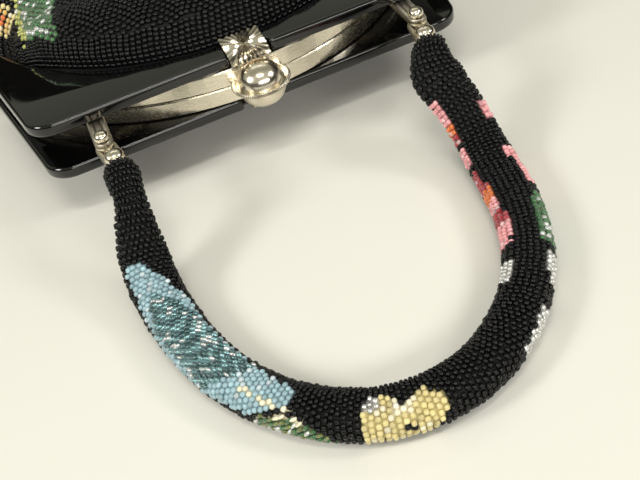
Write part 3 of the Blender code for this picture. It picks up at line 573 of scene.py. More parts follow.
# %% Pouch sizes
LIP_HALF_WIDTH = 0.0897
LIP_DEPTH = 0.0827
LIP_CENTRE_Y = 0.0842
LIP_ANGLE = np.radians(68.0)
ARCH_RADIUS = 0.0950
ARCH_BAR = 0.0098
PLATE_CLEARANCE = 0.0028
SIDE_Y = 0.1120
POUCH_DEPTH = 0.1680
POUCH_HALF_WIDTH = 0.1040
FRONT_RISE = 0.0312
BACK_DROP = 0.0385
LIP_HALF_HEIGHT = 0.0067
POUCH_ROWS = np.array([
    # tuck, run, spread, front rise, back drop, gather
    (0.00, 0.000, 0.000, LIP_HALF_HEIGHT / FRONT_RISE, LIP_HALF_HEIGHT / BACK_DROP, 0.0),
    (0.42, 0.000, 0.000, LIP_HALF_HEIGHT / FRONT_RISE, LIP_HALF_HEIGHT / BACK_DROP, 0.0),
    (0.83, 0.000, 0.000, LIP_HALF_HEIGHT / FRONT_RISE, LIP_HALF_HEIGHT / BACK_DROP, 0.0),
    (0.95, 0.000, 0.000, 0.475, 0.358, 0.0),
    (1.00, 0.022, 0.005, 0.630, 0.440, 0.5),
    (1.00, 0.060, 0.015, 0.770, 0.560, 1.0),
    (1.00, 0.120, 0.030, 0.885, 0.720, 1.0),
    (1.00, 0.200, 0.055, 0.955, 0.870, 0.8),
    (1.00, 0.310, 0.095, 0.990, 0.980, 0.5),
    (1.00, 0.415, 0.210, 1.000, 1.000, 0.3),
    (1.00, 0.500, 0.560, 0.990, 1.000, 0.3),
    (1.00, 0.600, 0.800, 0.950, 0.985, 0.3),
    (1.00, 0.715, 0.930, 0.860, 0.930, 0.4),
    (1.00, 0.820, 0.975, 0.710, 0.800, 0.5),
    (1.00, 0.900, 0.995, 0.535, 0.610, 0.5),
    (1.00, 0.960, 1.000, 0.320, 0.370, 0.3),
    (1.00, 1.000, 1.000, 0.000, 0.000, 0.0),
])
FIRST_BEADED_ROW = 2.6
LAST_ROW = len(POUCH_ROWS) - 1.0

# %% Pouch sheets
def pouch_sheet(row_places, columns, front, inset=0.0):
    """Points (rows, columns, 3) of one sheet; inset above zero gives the inner side of the wall."""
    table = smooth_values(np.arange(len(POUCH_ROWS)), POUCH_ROWS, row_places)
    tuck, run, spread, front_rise, back_drop, gather = (table[:, index][:, None] for index in range(6))
    u = columns[None, :]
    angle = u * LIP_ANGLE
    lip_x = (LIP_HALF_WIDTH - inset) * np.sin(angle)
    lip_y = LIP_CENTRE_Y - (LIP_DEPTH - inset) * np.cos(angle)
    outer_x = LIP_HALF_WIDTH * np.sin(angle)
    clear_y = ARCH_BAR + ARCH_RADIUS - np.sqrt((ARCH_RADIUS - PLATE_CLEARANCE) ** 2 - outer_x ** 2) + inset
    lip_y = lip_y + tuck * (clear_y - lip_y)
    turn = u * np.pi / 2
    bottom_x = (POUCH_HALF_WIDTH - inset) * np.sign(u) * np.abs(np.sin(turn)) ** 0.80
    bottom_y = SIDE_Y + (POUCH_DEPTH - SIDE_Y - inset) * np.abs(np.cos(turn)) ** 0.80
    x = lip_x + (bottom_x - lip_x) * spread
    y = lip_y + (bottom_y - lip_y) * run
    fullness = 8.0 - 5.4 * np.clip(run * 4, 0.0, 1.0)
    crown = np.sqrt(np.clip(1.0 - np.abs(u) ** fullness, 0.0, 1.0))
    fold = gather * 0.0008 * np.cos(13 * np.pi * u) * crown * (1.0 - run)
    reach, share = (FRONT_RISE, front_rise) if front else (BACK_DROP, back_drop)
    height = np.maximum((reach * np.clip(share, 0.0, 1.0) + fold) * crown - inset, inset * 0.1)
    z = MIDDLE_Z + height if front else np.maximum(MIDDLE_Z - height, inset)
    return np.stack([x, y + MOUTH_Y, z + 0 * x], axis=-1)

# %% Pouch cloth
def pouch_shell(name, outer_inset, inner_inset, rows=70, half_columns=110):
    """A closed cloth shell: two skins of front and back sheets, zipped at the bottom, joined at the lip."""
    places = np.linspace(0.0, LAST_ROW, rows)
    columns = np.sin(np.pi / 2 * np.linspace(-1.0, 1.0, half_columns + 1))
    skins = []
    for inset in (outer_inset, inner_inset):
        front = pouch_sheet(places, columns, True, inset)
        back = pouch_sheet(places, columns, False, inset)
        front[:, [0, -1], 2] = MIDDLE_Z
        front[-1, :, 2] = MIDDLE_Z
        skins.append(np.concatenate([front, back[:, -2:0:-1]], axis=1))
    ring = skins[0].shape[1]
    number = np.arange(rows * ring).reshape(rows, ring)
    number[-1, half_columns + 1:] = number[-1, half_columns - 1:0:-1]
    follow = np.roll(number, -1, axis=1)
    outer = np.stack([number[:-1], follow[:-1], follow[1:], number[1:]], axis=-1).reshape(-1, 4)
    inner = outer[:, ::-1] + rows * ring
    lip = np.stack([follow[0], number[0], number[0] + rows * ring, follow[0] + rows * ring], axis=-1)
    return add_piece(name, np.concatenate(skins).reshape(-1, 3), quads=np.concatenate([outer, inner, lip]))


pouch_cloth = pouch_shell("pouch_cloth", 0.0011, 0.0019)
finish_piece(outward(pouch_cloth), cloth, ("bag_body",))

# %% [markdown]
# ## Beads on the pouch
# The beads lie in level rows, brick fashion: each row is shifted half a bead, and each bead's hole
# points down the cloth. For every row the sheet is cut at a level y, the cut's length is measured, and
# beads are set along it at one pitch. The levels themselves are spaced by the length down the middle
# of the sheet. The first rows run along the lip instead, where the beadwork comes up from under the
# acrylic, and a bead of a level row that would sit on one of these is dropped.

# %% Level rows
BEAD_PITCH = 0.00250
ROW_PITCH = 0.00215
BEAD_HALF = (0.00112, 0.00124, 0.00088)
LAST_BORDER_ROW = 4.6


def surface_frames(grid, front):
    """Unit vectors down a sheet's columns, and outward: the cross product of across and down."""
    down = unit(np.gradient(grid, axis=0))
    across = unit(np.gradient(grid, axis=1))
    return down, unit(np.cross(across, down)) * (1 if front else -1)


def sheet_rows(front):
    """Bead places on one sheet's level rows: centres, thread directions and normals."""
    columns = np.sin(np.pi / 2 * np.linspace(-0.999, 0.999, 401))
    places = np.linspace(FIRST_BEADED_ROW, LAST_ROW - 0.004, 700)
    grid = pouch_sheet(places, columns, front)
    down, normal = surface_frames(grid, front)
    middle = grid[:, len(columns) // 2]
    run = np.concatenate([[0.0], np.cumsum(np.linalg.norm(np.diff(middle, axis=0), axis=1))])
    levels = np.interp(np.arange(0.5 * ROW_PITCH, run[-1], ROW_PITCH), run, middle[:, 1])
    start_y = grid[np.searchsorted(places, LAST_BORDER_ROW - 0.9), :, 1]
    fields = np.concatenate([grid, down, normal], axis=-1)
    cut = np.full((len(levels), len(columns), 9), np.nan)
    for column in range(len(columns)):
        heights = np.maximum.accumulate(grid[:, column, 1] + np.arange(len(places)) * 1e-9)
        inside = (levels > start_y[column]) & (levels < heights[-1])
        for index in range(9):
            cut[inside, column, index] = np.interp(levels[inside], heights, fields[:, column, index])
    found = []
    for row, line in enumerate(cut):
        kept = line[~np.isnan(line[:, 0])]
        if len(kept) < 6:
            continue
        length = np.concatenate([[0.0], np.cumsum(np.linalg.norm(np.diff(kept[:, :3], axis=0), axis=1))])
        centre = np.interp(0.0, kept[:, 0], length) if kept[0, 0] < 0 < kept[-1, 0] else length[-1] / 2
        first = np.ceil((0.4 * BEAD_PITCH - centre) / BEAD_PITCH - 0.5 * (row % 2))
        steps = (np.arange(first, (length[-1] - centre) / BEAD_PITCH) + 0.5 * (row % 2)) * BEAD_PITCH + centre
        steps = steps[(steps > 0.3 * BEAD_PITCH) & (steps < length[-1] - 0.3 * BEAD_PITCH)]
        placed = np.column_stack([np.interp(steps, length, kept[:, index]) for index in range(9)])
        found.append(placed)
    both = np.concatenate(found)
    return both[:, :3], both[:, 3:6], unit(both[:, 6:])

# %% Rows along the lip
def border_rows(front):
    """Bead places that follow the arch where the sheet comes out from under its plate."""
    columns = np.linspace(-1.0, 1.0, 601)
    found = []
    places = np.linspace(FIRST_BEADED_ROW, LAST_BORDER_ROW, 80)
    middle = pouch_sheet(places, columns, front)[:, 300]
    run = np.concatenate([[0.0], np.cumsum(np.linalg.norm(np.diff(middle, axis=0), axis=1))])
    for number, place in enumerate(np.interp(np.arange(0.3 * ROW_PITCH, run[-1], ROW_PITCH), run, places)):
        grid = pouch_sheet(np.array([place - 0.02, place, place + 0.02]), columns, front)
        down, normal = surface_frames(grid, front)
        line = grid[1]
        length = np.concatenate([[0.0], np.cumsum(np.linalg.norm(np.diff(line, axis=0), axis=1))])
        start = BEAD_PITCH * (0.5 + 0.5 * (number % 2))
        steps = np.arange(start, length[-1] - 0.3 * BEAD_PITCH, BEAD_PITCH * 0.98)
        fields = np.concatenate([line, down[1], normal[1]], axis=1)
        found.append(np.column_stack([np.interp(steps, length, fields[:, index]) for index in range(9)]))
    both = np.concatenate(found)
    return both[:, :3], both[:, 3:6], unit(both[:, 6:])


def clear_of(places, others, distance):
    """True for the places that have none of the others nearer than a distance."""
    tree = KDTree(len(others))
    for index, place in enumerate(others):
        tree.insert(place, index)
    tree.balance()
    return np.array([tree.find(place)[2] > distance for place in places])

# %% [markdown]
# ## The pouch's flower and leaf
# The motifs are part of the beadwork: each bead takes the colour of the spot where it sits. Their
# outlines are short rules in millimetres from the mouth and the middle. The flower is a ball of
# petals about a centre, whose radius swells five times round. The leaf's beads are
# longer than the others and turned, so that they fan out.

# %% Colours of the pouch
def pouch_colours(places):
    """Colours, lustres and the leaf's mask: jet black with a flower, stem and leaf at the left shoulder."""
    x = places[:, 0] / MM
    y = (places[:, 1] - MOUTH_Y) / MM
    colours = np.tile(BLACK, (len(places), 1))
    lustres = np.zeros(len(places))
    stem_x = np.interp(y, (50.0, 58.0, 76.0, 85.0, 100.0), (-75.5, -76.6, -76.6, -75.4, -71.0))
    leaf_end = np.interp(x, (-77.0, -74.0, -70.0, -63.7, -62.0), (58.0, 54.0, 48.0, 43.0, 60.0))
    leaf_side = np.interp(y, (43.0, 50.0, 68.0, 90.0), (-62.5, -62.0, -59.5, -56.0))
    leaf = (x > stem_x + 0.8) & (x < leaf_side) & (y > leaf_end) & (y < 96.0 + 0.6 * (x + 68.0))
    stem = (np.abs(x - stem_x) < 1.5) & (y > 57.0) & (y < 104.0)
    for mask, colour, lustre in ((leaf, DEEP_GREEN, 0.95), (stem, LEAF_YELLOW, 0.8)):
        colours[mask] = colour
        lustres[mask] = lustre
    z = places[:, 2] / MM
    turn = np.arctan2(y - 87.0, z - 51.0)
    reach = np.sqrt((x + 84.0) ** 2 + (y - 87.0) ** 2 + (z - 51.0) ** 2)
    petals = 6.0 + 2.2 * np.abs(np.cos(2.5 * turn))
    petal = (reach < petals) & ~stem
    colours[petal] = GOLD_YELLOW
    colours[petal & (reach > petals * 0.75)] = PALE_YELLOW
    colours[petal & (reach < 2.6)] = ORANGE
    lustres[petal] = 0.6
    return colours, lustres, leaf

# %% Pouch beads
def pouch_piece(name, parts, front, keep):
    """One joined mesh of the pouch's beads where keep says so."""
    places, threads, normals = (np.concatenate(values) for values in zip(*parts))
    chosen = keep(places)
    places, threads, normals = places[chosen], threads[chosen], normals[chosen]
    colours, lustres, leaf = pouch_colours(places)
    if not front:
        colours[:], lustres[:], leaf[:] = BLACK, 0.0, False
    centres = places - normals * BEAD_HALF[2] + jitter(len(places), 0.00005)
    centres[:, 2] = np.maximum(centres[:, 2], BEAD_HALF[2])
    sizes = np.array(BEAD_HALF) * (1.0 + rng.normal(0.0, 0.035, (len(places), 3)))
    sizes[leaf] *= (1.40, 0.95, 1.0)
    fan = np.radians(35.0 + 4.0 * (places[:, 0] / MM + 68.0)) + rng.normal(0.0, 0.3, len(places))
    threads = turned(threads, normals, np.where(leaf, fan, 0.0))
    colours = paint_glints(colours, lustres)
    piece = bead_piece(
        name, centres, threads + jitter(len(places), 0.05), normals + jitter(len(places), 0.05), sizes,
        shade_jitter(colours, 0.10), lustres, sides=8 if front else 6)
    finish_piece(piece, bead_glass, ("bag_body",))


for front, word in ((True, "front"), (False, "back")):
    border = border_rows(front)
    sheet = sheet_rows(front)
    free = clear_of(sheet[0], border[0], 0.80 * ROW_PITCH)
    parts = (border, tuple(values[free] for values in sheet))
    pouch_piece(f"pouch_{word}_beads_left", parts, front, lambda places: places[:, 0] < 0)
    pouch_piece(f"pouch_{word}_beads_right", parts, front, lambda places: places[:, 0] >= 0)

# %% [markdown]
# ## The handle's core
# The handle is a padded cloth tube swept along a route in plan, lying on the table and drawn up at both
# ends to the metal links. Its section is a squared-off oval: at angle t its half width goes with
# sign(cos t)|cos t|^(2/n), its half height with the sine, n a little above 2. Angle 0 is the loop's
# outer side and 90 degrees the top.

# %% Handle route and sections
HANDLE_WIDTH = 0.0172
HANDLE_HEIGHT = 0.0130
SQUARENESS = 2.3
END_Z = 0.03495
ROUTE = np.array([
    (-0.0606, -0.0270), (-0.0607, -0.0330), (-0.0614, -0.0395), (-0.0630, -0.0455), (-0.0644, -0.0520),
    (-0.0648, -0.0590), (-0.0642, -0.0690), (-0.0628, -0.0790), (-0.0597, -0.0950), (-0.0545, -0.1105),
    (-0.0455, -0.1265), (-0.0320, -0.1405), (-0.0170, -0.1485), (-0.0020, -0.1505), (0.0130, -0.1475),
    (0.0260, -0.1400), (0.0380, -0.1285), (0.0475, -0.1140), (0.0540, -0.0975), (0.0578, -0.0810),
    (0.0597, -0.0670), (0.0600, -0.0580), (0.0593, -0.0510), (0.0579, -0.0455), (0.0565, -0.0410),
    (0.0563, -0.0370), (0.0578, -0.0322), (0.0606, -0.0270),
])
SECTIONS = np.array([
    # place, width, height, lift
    (0.000, 0.62, 0.70, 1.00),
    (0.012, 0.74, 0.84, 0.98),
    (0.038, 0.67, 0.80, 0.81),
    (0.060, 0.86, 0.90, 0.56),
    (0.085, 1.03, 0.96, 0.30),
    (0.110, 1.05, 0.98, 0.13),
    (0.150, 1.04, 1.00, 0.00),
    (0.300, 0.97, 1.00, 0.00),
    (0.500, 0.96, 1.02, 0.00),
    (0.700, 1.00, 1.00, 0.00),
    (0.850, 1.04, 0.99, 0.00),
    (0.890, 1.02, 0.97, 0.17),
    (0.915, 1.04, 0.96, 0.39),
    (0.937, 1.12, 0.95, 0.60),
    (0.953, 1.16, 0.94, 0.74),
    (0.971, 0.96, 0.90, 0.88),
    (0.988, 0.76, 0.84, 0.98),
    (1.000, 0.62, 0.70, 1.00),
])
CORE_RINGS = 220
CORE_DEGREES = 360.0 * (np.arange(36) + 0.5) / 36

# %% Handle axis and oval
def handle_axis(places):
    """Axis points, unit directions (along, sideways, up) and half sizes at places from 0 to 1."""
    spans = np.linalg.norm(np.diff(ROUTE, axis=0), axis=1)
    lengths = np.concatenate([[0.0], np.cumsum(spans)]) / spans.sum()
    plan = smooth_values(lengths, ROUTE, places)
    width, height, lift = smooth_values(SECTIONS[:, 0], SECTIONS[:, 1:], places).T
    level = HANDLE_HEIGHT / 2 + np.clip(lift, 0.0, 1.0) * (END_Z - HANDLE_HEIGHT / 2)
    points = np.column_stack([plan[:, 0], plan[:, 1] + MOUTH_Y, level])
    along = unit(np.gradient(points, axis=0))
    sideways = unit(np.cross(along, (0.0, 0.0, 1.0)))
    upward = np.cross(sideways, along)
    return points, along, sideways, upward, HANDLE_WIDTH / 2 * width, HANDLE_HEIGHT / 2 * height


def oval(angles):
    """Unit places and unnormalised outward directions of the squared-off oval."""
    power = 2.0 / SQUARENESS
    across = np.sign(np.cos(angles)) * np.abs(np.cos(angles)) ** power
    above = np.sign(np.sin(angles)) * np.abs(np.sin(angles)) ** power
    out_across = np.sign(across) * np.abs(across) ** (SQUARENESS - 1)
    out_above = np.sign(above) * np.abs(above) ** (SQUARENESS - 1)
    return across, above, out_across, out_above

# %% Handle core
def handle_tube(name, inset):
    """The core under the beads: the handle's surface drawn in by inset."""
    points, along, sideways, upward, half_width, half_height = handle_axis(np.linspace(0.0, 1.0, CORE_RINGS))
    across, above, _, _ = oval(np.radians(CORE_DEGREES))
    grid = (
        points[:, None] + sideways[:, None] * (across[None] * (half_width[:, None] - inset))[..., None]
        + upward[:, None] * (above[None] * (half_height[:, None] - inset))[..., None])
    grid[..., 2] = np.maximum(grid[..., 2], inset)
    return outward(tube_piece(name, grid))


handle_core = handle_tube("handle_core", 0.0011)
finish_piece(handle_core, cloth, ("handle",))

# %% [markdown]
# ## Beads round the handle
# Twenty-two columns of beads run the length of the handle. On the left arm and round the bend they lie
# brick fashion; on the right arm they stand in straight columns with a visible groove between. Where
# the handle bends, the outer beads are spread and the inner ones pressed together, so each bead's
# length follows the distance between rings at its own side. A colour rule in length and angle paints
# the motifs: a light blue petal with a teal leaf on the left arm, a small green leaf and a pale yellow
# flower round the bend, and narrow parts of pink, red, green and white motifs on the right arm. The
# two leaves are silver-lined tubes on the real bag, so their beads are stretched, narrowed and turned.
# Between clear and coloured beads the core shows painted light in their colour, for light that passes through
# the glass.

# %% Bead columns and leaf outlines
HANDLE_COLUMNS = 22
HANDLE_ROW_PITCH = 0.00178
HANDLE_BEAD_HALF = 0.00088
HANDLE_LENGTH_MM = 328.5
# The motifs' ruler reads this much at the handle's left end
MOTIF_START_MM = 5.3


def even_angles(shares):
    """Angles of the places at shares of the oval's own length, so that beads stand evenly."""
    angles = np.linspace(0.0, 2 * np.pi, 721)
    across, above, _, _ = oval(angles)
    steps = np.hypot(np.diff(across) * HANDLE_WIDTH / 2, np.diff(above) * HANDLE_HEIGHT / 2)
    length = np.concatenate([[0.0], np.cumsum(steps)]) / steps.sum()
    return np.interp(shares % 1.0, length, angles)


def in_fan(s, angle):
    """Where the left arm's leaf is made of long silver-lined tubes."""
    start = 49.0 + 0.30 * np.abs(angle - 78.0)
    end = np.interp(angle, (0.0, 20.0, 100.0), (93.0, 96.0, 105.0))
    return (s > start) & (s < end) & (angle > np.interp(s, (84.0, 92.0), (24.0, 2.0))) & (angle < 138.0)


def in_leaf(s, angle):
    """Where the small leaf lies on the loop's outer side."""
    top = np.interp(s, (114.0, 116.0, 123.7, 130.0, 134.3, 139.0), (-10.0, 16.0, 42.0, 36.0, 12.0, -25.0))
    return (s > 114.5) & (s < 139.0) & (angle < top) & (angle > -45.0)

# %% Colours of the handle
def handle_colours(s, degrees):
    """Colour and lustre by length s in mm along the motif and angle in degrees, 90 on top."""
    angle = (degrees + 90.0) % 360.0 - 90.0
    colours = np.tile(BLACK, (len(s), 1))
    lustres = np.zeros(len(s))

    def paint(mask, colour, lustre):
        colours[mask] = colour
        lustres[mask] = lustre

    blue_start = np.interp(
        angle, (20.0, 44.0, 84.0, 114.0, 134.0, 150.0), (38.0, 34.6, 36.3, 45.0, 52.0, 62.0))
    blue_end = np.interp(
        angle, (-14.0, 8.0, 60.0, 80.0, 108.0, 122.0), (97.0, 112.0, 122.0, 126.0, 125.0, 112.0))
    outer_side = np.interp(s, (35.0, 45.0, 60.0, 75.0), (38.0, 30.0, 12.0, -14.0))
    inner_side = np.interp(s, (50.0, 60.0, 80.0, 100.0, 112.0), (140.0, 146.0, 150.0, 146.0, 122.0))
    paint((s > blue_start) & (s < blue_end) & (angle > outer_side) & (angle < inner_side), LIGHT_BLUE, 0.35)
    fan = in_fan(s, angle)
    paint(fan, TEAL, 0.95)
    bands = ((s + 0.085 * np.abs(angle - 84.0) ** 1.15) / 6.4) % 1.0
    paint(fan & (bands < 0.42), TEAL_LIGHT, 0.95)
    paint((s > 107.0) & (s < 126.0) & (np.abs(angle - 62.0 + 0.85 * (s - 114.6)) < 7.0), CREAM, 0.5)
    leaf = in_leaf(s, angle)
    paint(leaf, DEEP_GREEN, 0.85)
    paint(leaf & (((s + 0.12 * angle) / 4.2) % 1.0 < 0.36), GOLD_GREEN, 0.85)
    paint(leaf & (s > 117.0) & (s < 130.0) & ~in_leaf(s, angle + 13.0), CREAM, 0.5)
    top = np.interp(s, (147.0, 149.0, 154.0, 158.5, 161.0, 164.8, 169.0, 171.0),
                    (80.0, 98.0, 98.0, 70.0, 84.0, 94.0, 72.0, 30.0))
    flower = (s > 147.2) & (s < 169.6 - 0.07 * np.maximum(36.0 - angle, 0.0)) & (angle < top) & (angle > -36.0)
    paint(flower, PALE_YELLOW, 0.5)
    paint(flower & (s > 154.5) & (s < 160.5) & (angle > 50.0), CREAM, 0.6)
    flower_eye = ((s - 159.0) / 2.2) ** 2 + ((angle - 4.0) / 13.0) ** 2 < 1.0
    paint(flower_eye, BLACK, 0.0)
    paint(flower & (s < 151.5) & (angle > 66.0), CLEAR_WHITE, 1.0)
    # The right arm shows narrow parts of motifs at its two edges
    inner_edge = np.interp(
        s, (217.0, 240.0, 251.0, 276.0, 297.0, 311.0), (122.0, 126.0, 124.0, 146.0, 154.0, 160.0))
    outer_edge = np.interp(
        s, (196.0, 208.0, 219.0, 231.0, 237.0, 240.0, 255.0, 261.0, 279.0, 290.0, 304.0),
        (14.0, 24.0, 30.0, 42.0, 48.0, 66.0, 66.0, 46.0, 50.0, 62.0, 60.0))
    inner = (angle > inner_edge) & (angle < 205.0)
    outer = (angle < outer_edge) & (angle > -40.0)
    for side, start, end, colour, lustre in (
            (inner, 217.0, 229.0, CLEAR_WHITE, 0.9),
            (inner, 238.0, 250.0, PINK, 0.4),
            (inner, 250.0, 258.0, RED, 0.6),
            (inner, 258.0, 264.0, PINK, 0.5),
            (inner, 264.0, 270.5, ORANGE, 0.6),
            (inner, 270.5, 284.0, RED, 0.6),
            (inner, 288.0, 296.0, PINK, 0.4),
            (inner, 298.0, 302.0, RED, 0.6),
            (inner, 302.0, 306.0, ORANGE, 0.6),
            (inner, 306.0, 314.0, PINK, 0.4),
            (outer, 196.0, 213.0, CLEAR_WHITE, 0.9),
            (outer, 222.0, 233.0, CLEAR_WHITE, 0.9),
            (outer, 237.0, 262.0, DEEP_GREEN, 0.85),
            (outer, 268.0, 290.0, PINK, 0.4),
            (outer, 302.0, 307.0, PINK, 0.4)):
        paint(side & (s > start) & (s < end), colour, lustre)
    return colours, lustres

# %% Handle beads
def handle_beads(name):
    """All the handle's beads, ring after ring."""
    ring_count = int(HANDLE_LENGTH_MM * MM / HANDLE_ROW_PITCH)
    rings = (np.arange(ring_count) + 0.5) / ring_count
    points, along, sideways, upward, half_width, half_height = handle_axis(rings)
    s = rings * HANDLE_LENGTH_MM + MOTIF_START_MM
    brick = 0.5 * (np.arange(ring_count) % 2) * np.clip((222.0 - s) / 22.0, 0.0, 1.0)
    angles = even_angles((np.arange(HANDLE_COLUMNS)[None, :] + brick[:, None]) / HANDLE_COLUMNS)
    across, above, out_across, out_above = oval(angles)
    wide = half_width[:, None] - HANDLE_BEAD_HALF
    high = half_height[:, None] - HANDLE_BEAD_HALF
    centres = points[:, None] + sideways[:, None] * (across * wide)[..., None]
    centres = centres + upward[:, None] * (above * high)[..., None]
    normals = unit(
        sideways[:, None] * (out_across / wide)[..., None] + upward[:, None] * (out_above / high)[..., None])
    pitch = np.linalg.norm(np.gradient(centres, axis=0), axis=-1)
    girth = np.linalg.norm(np.diff(np.concatenate([centres, centres[:, :1]], axis=1), axis=1), axis=-1)
    centres[..., 2] = np.maximum(centres[..., 2], HANDLE_BEAD_HALF)
    count = ring_count * HANDLE_COLUMNS
    sizes = np.stack([pitch * 0.52, girth * 0.50, np.full(pitch.shape, HANDLE_BEAD_HALF)], axis=-1)
    sizes = sizes.reshape(count, 3) * (1.0 + rng.normal(0.0, 0.045, (count, 3)))
    length = np.repeat(s, HANDLE_COLUMNS)
    degrees = (np.degrees(angles).ravel() + 90.0) % 360.0 - 90.0
    colours, lustres = handle_colours(length, degrees)
    fan, leaf = in_fan(length, degrees), in_leaf(length, degrees)
    lay = np.interp(length, (50.0, 76.0, 88.0, 104.0), (78.0, 62.0, 18.0, 2.0)) + 0.22 * (degrees - 84.0)
    lay = np.where(fan, lay, np.where(leaf, 38.0, 0.0))
    lay = np.radians(lay + (fan | leaf) * rng.normal(0.0, 9.0, count))
    sizes[fan | leaf] *= (1.55, 0.62, 1.05)
    normals = normals.reshape(count, 3)
    threads = turned(np.repeat(along, HANDLE_COLUMNS, axis=0), normals, lay) + jitter(count, 0.07)
    piece = bead_piece(
        name, centres.reshape(count, 3) + jitter(count, 0.00012), threads,
        normals + jitter(count, 0.07), sizes, shade_jitter(paint_glints(colours, lustres), 0.12), lustres)
    finish_piece(piece, bead_glass, ("handle",))


handle_beads("handle_bead_cover")

# %% Core colours
def paint_bead_light_on_core(piece):
    """Paint light in the beads' colour, at three quarters of it, onto the core under clear and coloured beads,
    for light through the glass; leave it black elsewhere.
    """
    s = np.repeat(np.linspace(0.0, 1.0, CORE_RINGS) * HANDLE_LENGTH_MM + MOTIF_START_MM, len(CORE_DEGREES))
    colours, _ = handle_colours(s, np.tile(CORE_DEGREES, CORE_RINGS))
    colours[colours.max(axis=1) < 0.01] = 0.0
    # Painted light through the beads, stored where the cloth material reads the beads' colour
    rgba = np.column_stack([colours * 0.75, np.ones(len(s))]).astype(np.float32)
    attribute = piece.data.attributes.new("bead_colour", "FLOAT_COLOR", "POINT")
    attribute.data.foreach_set("color", rgba.ravel())
    print(piece.name, "tinted points", int((colours.max(axis=1) > 0).sum()))


paint_bead_light_on_core(handle_core)

# %% [markdown]
# ## The acrylic plates
# Each plate is a wide U cut from sheet, with an arched inner edge, a rounded notch at the clasp and a
# polished, slightly rounded rim. Its plan is a closed line of points; the rim is that line moved inward
# by r (1 - sin t) while it rises by r cos t, so the edge turns over a quarter circle of radius r.

# %% Plate outline
PLATE_LENGTH = 0.170
ARM_LENGTH = 0.075
ARM_FLARE = np.radians(11.0)
ARM_END_WIDTH = 0.0094
NOTCH_HALF_WIDTH = 0.0080
NOTCH_DEPTH = 0.0030
EDGE_ROUND = 0.0013


def rounded_line(corners, steps=12):
    """A closed plan line with rounded corners; each corner is x, y and radius."""
    line = []
    for index, (x, y, radius) in enumerate(corners):
        here = np.array([x, y])
        if radius <= 0:
            line.append(here[None])
            continue
        before = unit(np.array(corners[index - 1][:2]) - here)
        after = unit(np.array(corners[(index + 1) % len(corners)][:2]) - here)
        half = 0.5 * np.arccos(np.clip(before @ after, -1, 1))
        centre = here + unit(before + after) * radius / np.sin(half)
        start = here + before * radius / np.tan(half) - centre
        end = here + after * radius / np.tan(half) - centre
        first = np.arctan2(start[1], start[0])
        sweep = (np.arctan2(end[1], end[0]) - first + np.pi) % (2 * np.pi) - np.pi
        angles = first + sweep * np.linspace(0.0, 1.0, steps)
        line.append(centre + radius * np.column_stack([np.cos(angles), np.sin(angles)]))
    return np.concatenate(line)


def spread_evenly(line, step):
    """The same closed line with points at one spacing."""
    closed = np.concatenate([line, line[:1]])
    length = np.concatenate([[0.0], np.cumsum(np.linalg.norm(np.diff(closed, axis=0), axis=1))])
    keep = np.concatenate([[True], np.diff(length) > 1e-9])
    places = np.linspace(0.0, length[-1], int(length[-1] / step), endpoint=False)
    return np.column_stack([np.interp(places, length[keep], closed[keep, axis]) for axis in (0, 1)])


def inward_normals(line):
    """Unit normals of a closed plan line that runs anticlockwise, pointing into it."""
    along = unit(np.roll(line, -1, axis=0) - np.roll(line, 1, axis=0))
    return np.column_stack([-along[:, 1], along[:, 0]])


def plate_line():
    """Plan of a plate, anticlockwise."""
    outer_end = PLATE_LENGTH / 2 + ARM_LENGTH * np.tan(ARM_FLARE)
    inner_end = outer_end - ARM_END_WIDTH
    right = [
        (NOTCH_HALF_WIDTH, NOTCH_DEPTH, 0.0012),
        (NOTCH_HALF_WIDTH, 0.0, 0.0012),
        (PLATE_LENGTH / 2, 0.0, 0.0115),
        (outer_end, ARM_LENGTH, 0.0035),
        (inner_end, ARM_LENGTH, 0.0012)]
    x = inner_end * np.sin(np.linspace(np.pi / 2, -np.pi / 2, 120)[2:-2])
    arch = [(value, ARCH_BAR + ARCH_RADIUS - np.sqrt(ARCH_RADIUS ** 2 - value ** 2), 0.0) for value in x]
    left = [(-x, y, radius) for x, y, radius in reversed(right)]
    return rounded_line(right + arch + left)

# %% Plates
def slab_piece(name, line, low, high, edge, steps=5):
    """A flat slab over a plan line whose rims turn over quarter circles; closed by flat polygons."""
    inward = inward_normals(line)
    angles = np.linspace(0.0, np.pi / 2, steps)
    insets = np.concatenate([edge * (1 - np.sin(angles)), edge * (1 - np.sin(angles[::-1]))])
    levels = np.concatenate([low + edge * (1 - np.cos(angles)), high - edge * (1 - np.cos(angles[::-1]))])
    rings = np.stack([
        np.column_stack([line + inward * inset, np.full(len(line), level)])
        for inset, level in zip(insets, levels)])
    piece = outward(tube_piece(name, rings))
    # The two flat faces are shaded flat, so that they mirror like sheet
    for index in (-1, -2):
        piece.data.polygons[index].use_smooth = False
    return piece


def make_plate(node):
    """A plate between the low and high levels of its CAD node."""
    low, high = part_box(node)
    line = spread_evenly(plate_line(), 0.0009) + (0.0, MOUTH_Y)
    piece = slab_piece(node + "_acrylic", line, low.z, high.z, EDGE_ROUND)
    return finish_piece(sharp_edges(piece, 50.0), acrylic, (node,))


for node in ("front_plate", "back_plate"):
    make_plate(node)

# %% [markdown]
# ## Metal between the plates
# Two drawn strips lie one on the other between the plates and follow an ellipse; a fine dark line shows
# where they meet. Each could be swept from a small rectangle with rounded corners, and the packed
# solids already are, so they keep their shape and only get their finish. The ears and rivets hide
# under the plates' arms.

# %% Strips
def give_finish(node, material):
    """A CAD node that keeps its shape gets its material."""
    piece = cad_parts[node]
    piece.data.materials.clear()
    piece.data.materials.append(material)
    piece.data.set_sharp_from_angle(angle=np.radians(32.0))
    return piece


for node in ("front_half_frame", "back_half_frame"):
    give_finish(node, strip_nickel)
for node in ("left_hinge_rivet", "right_hinge_rivet"):
    give_finish(node, dome_nickel)
print("strips finished")

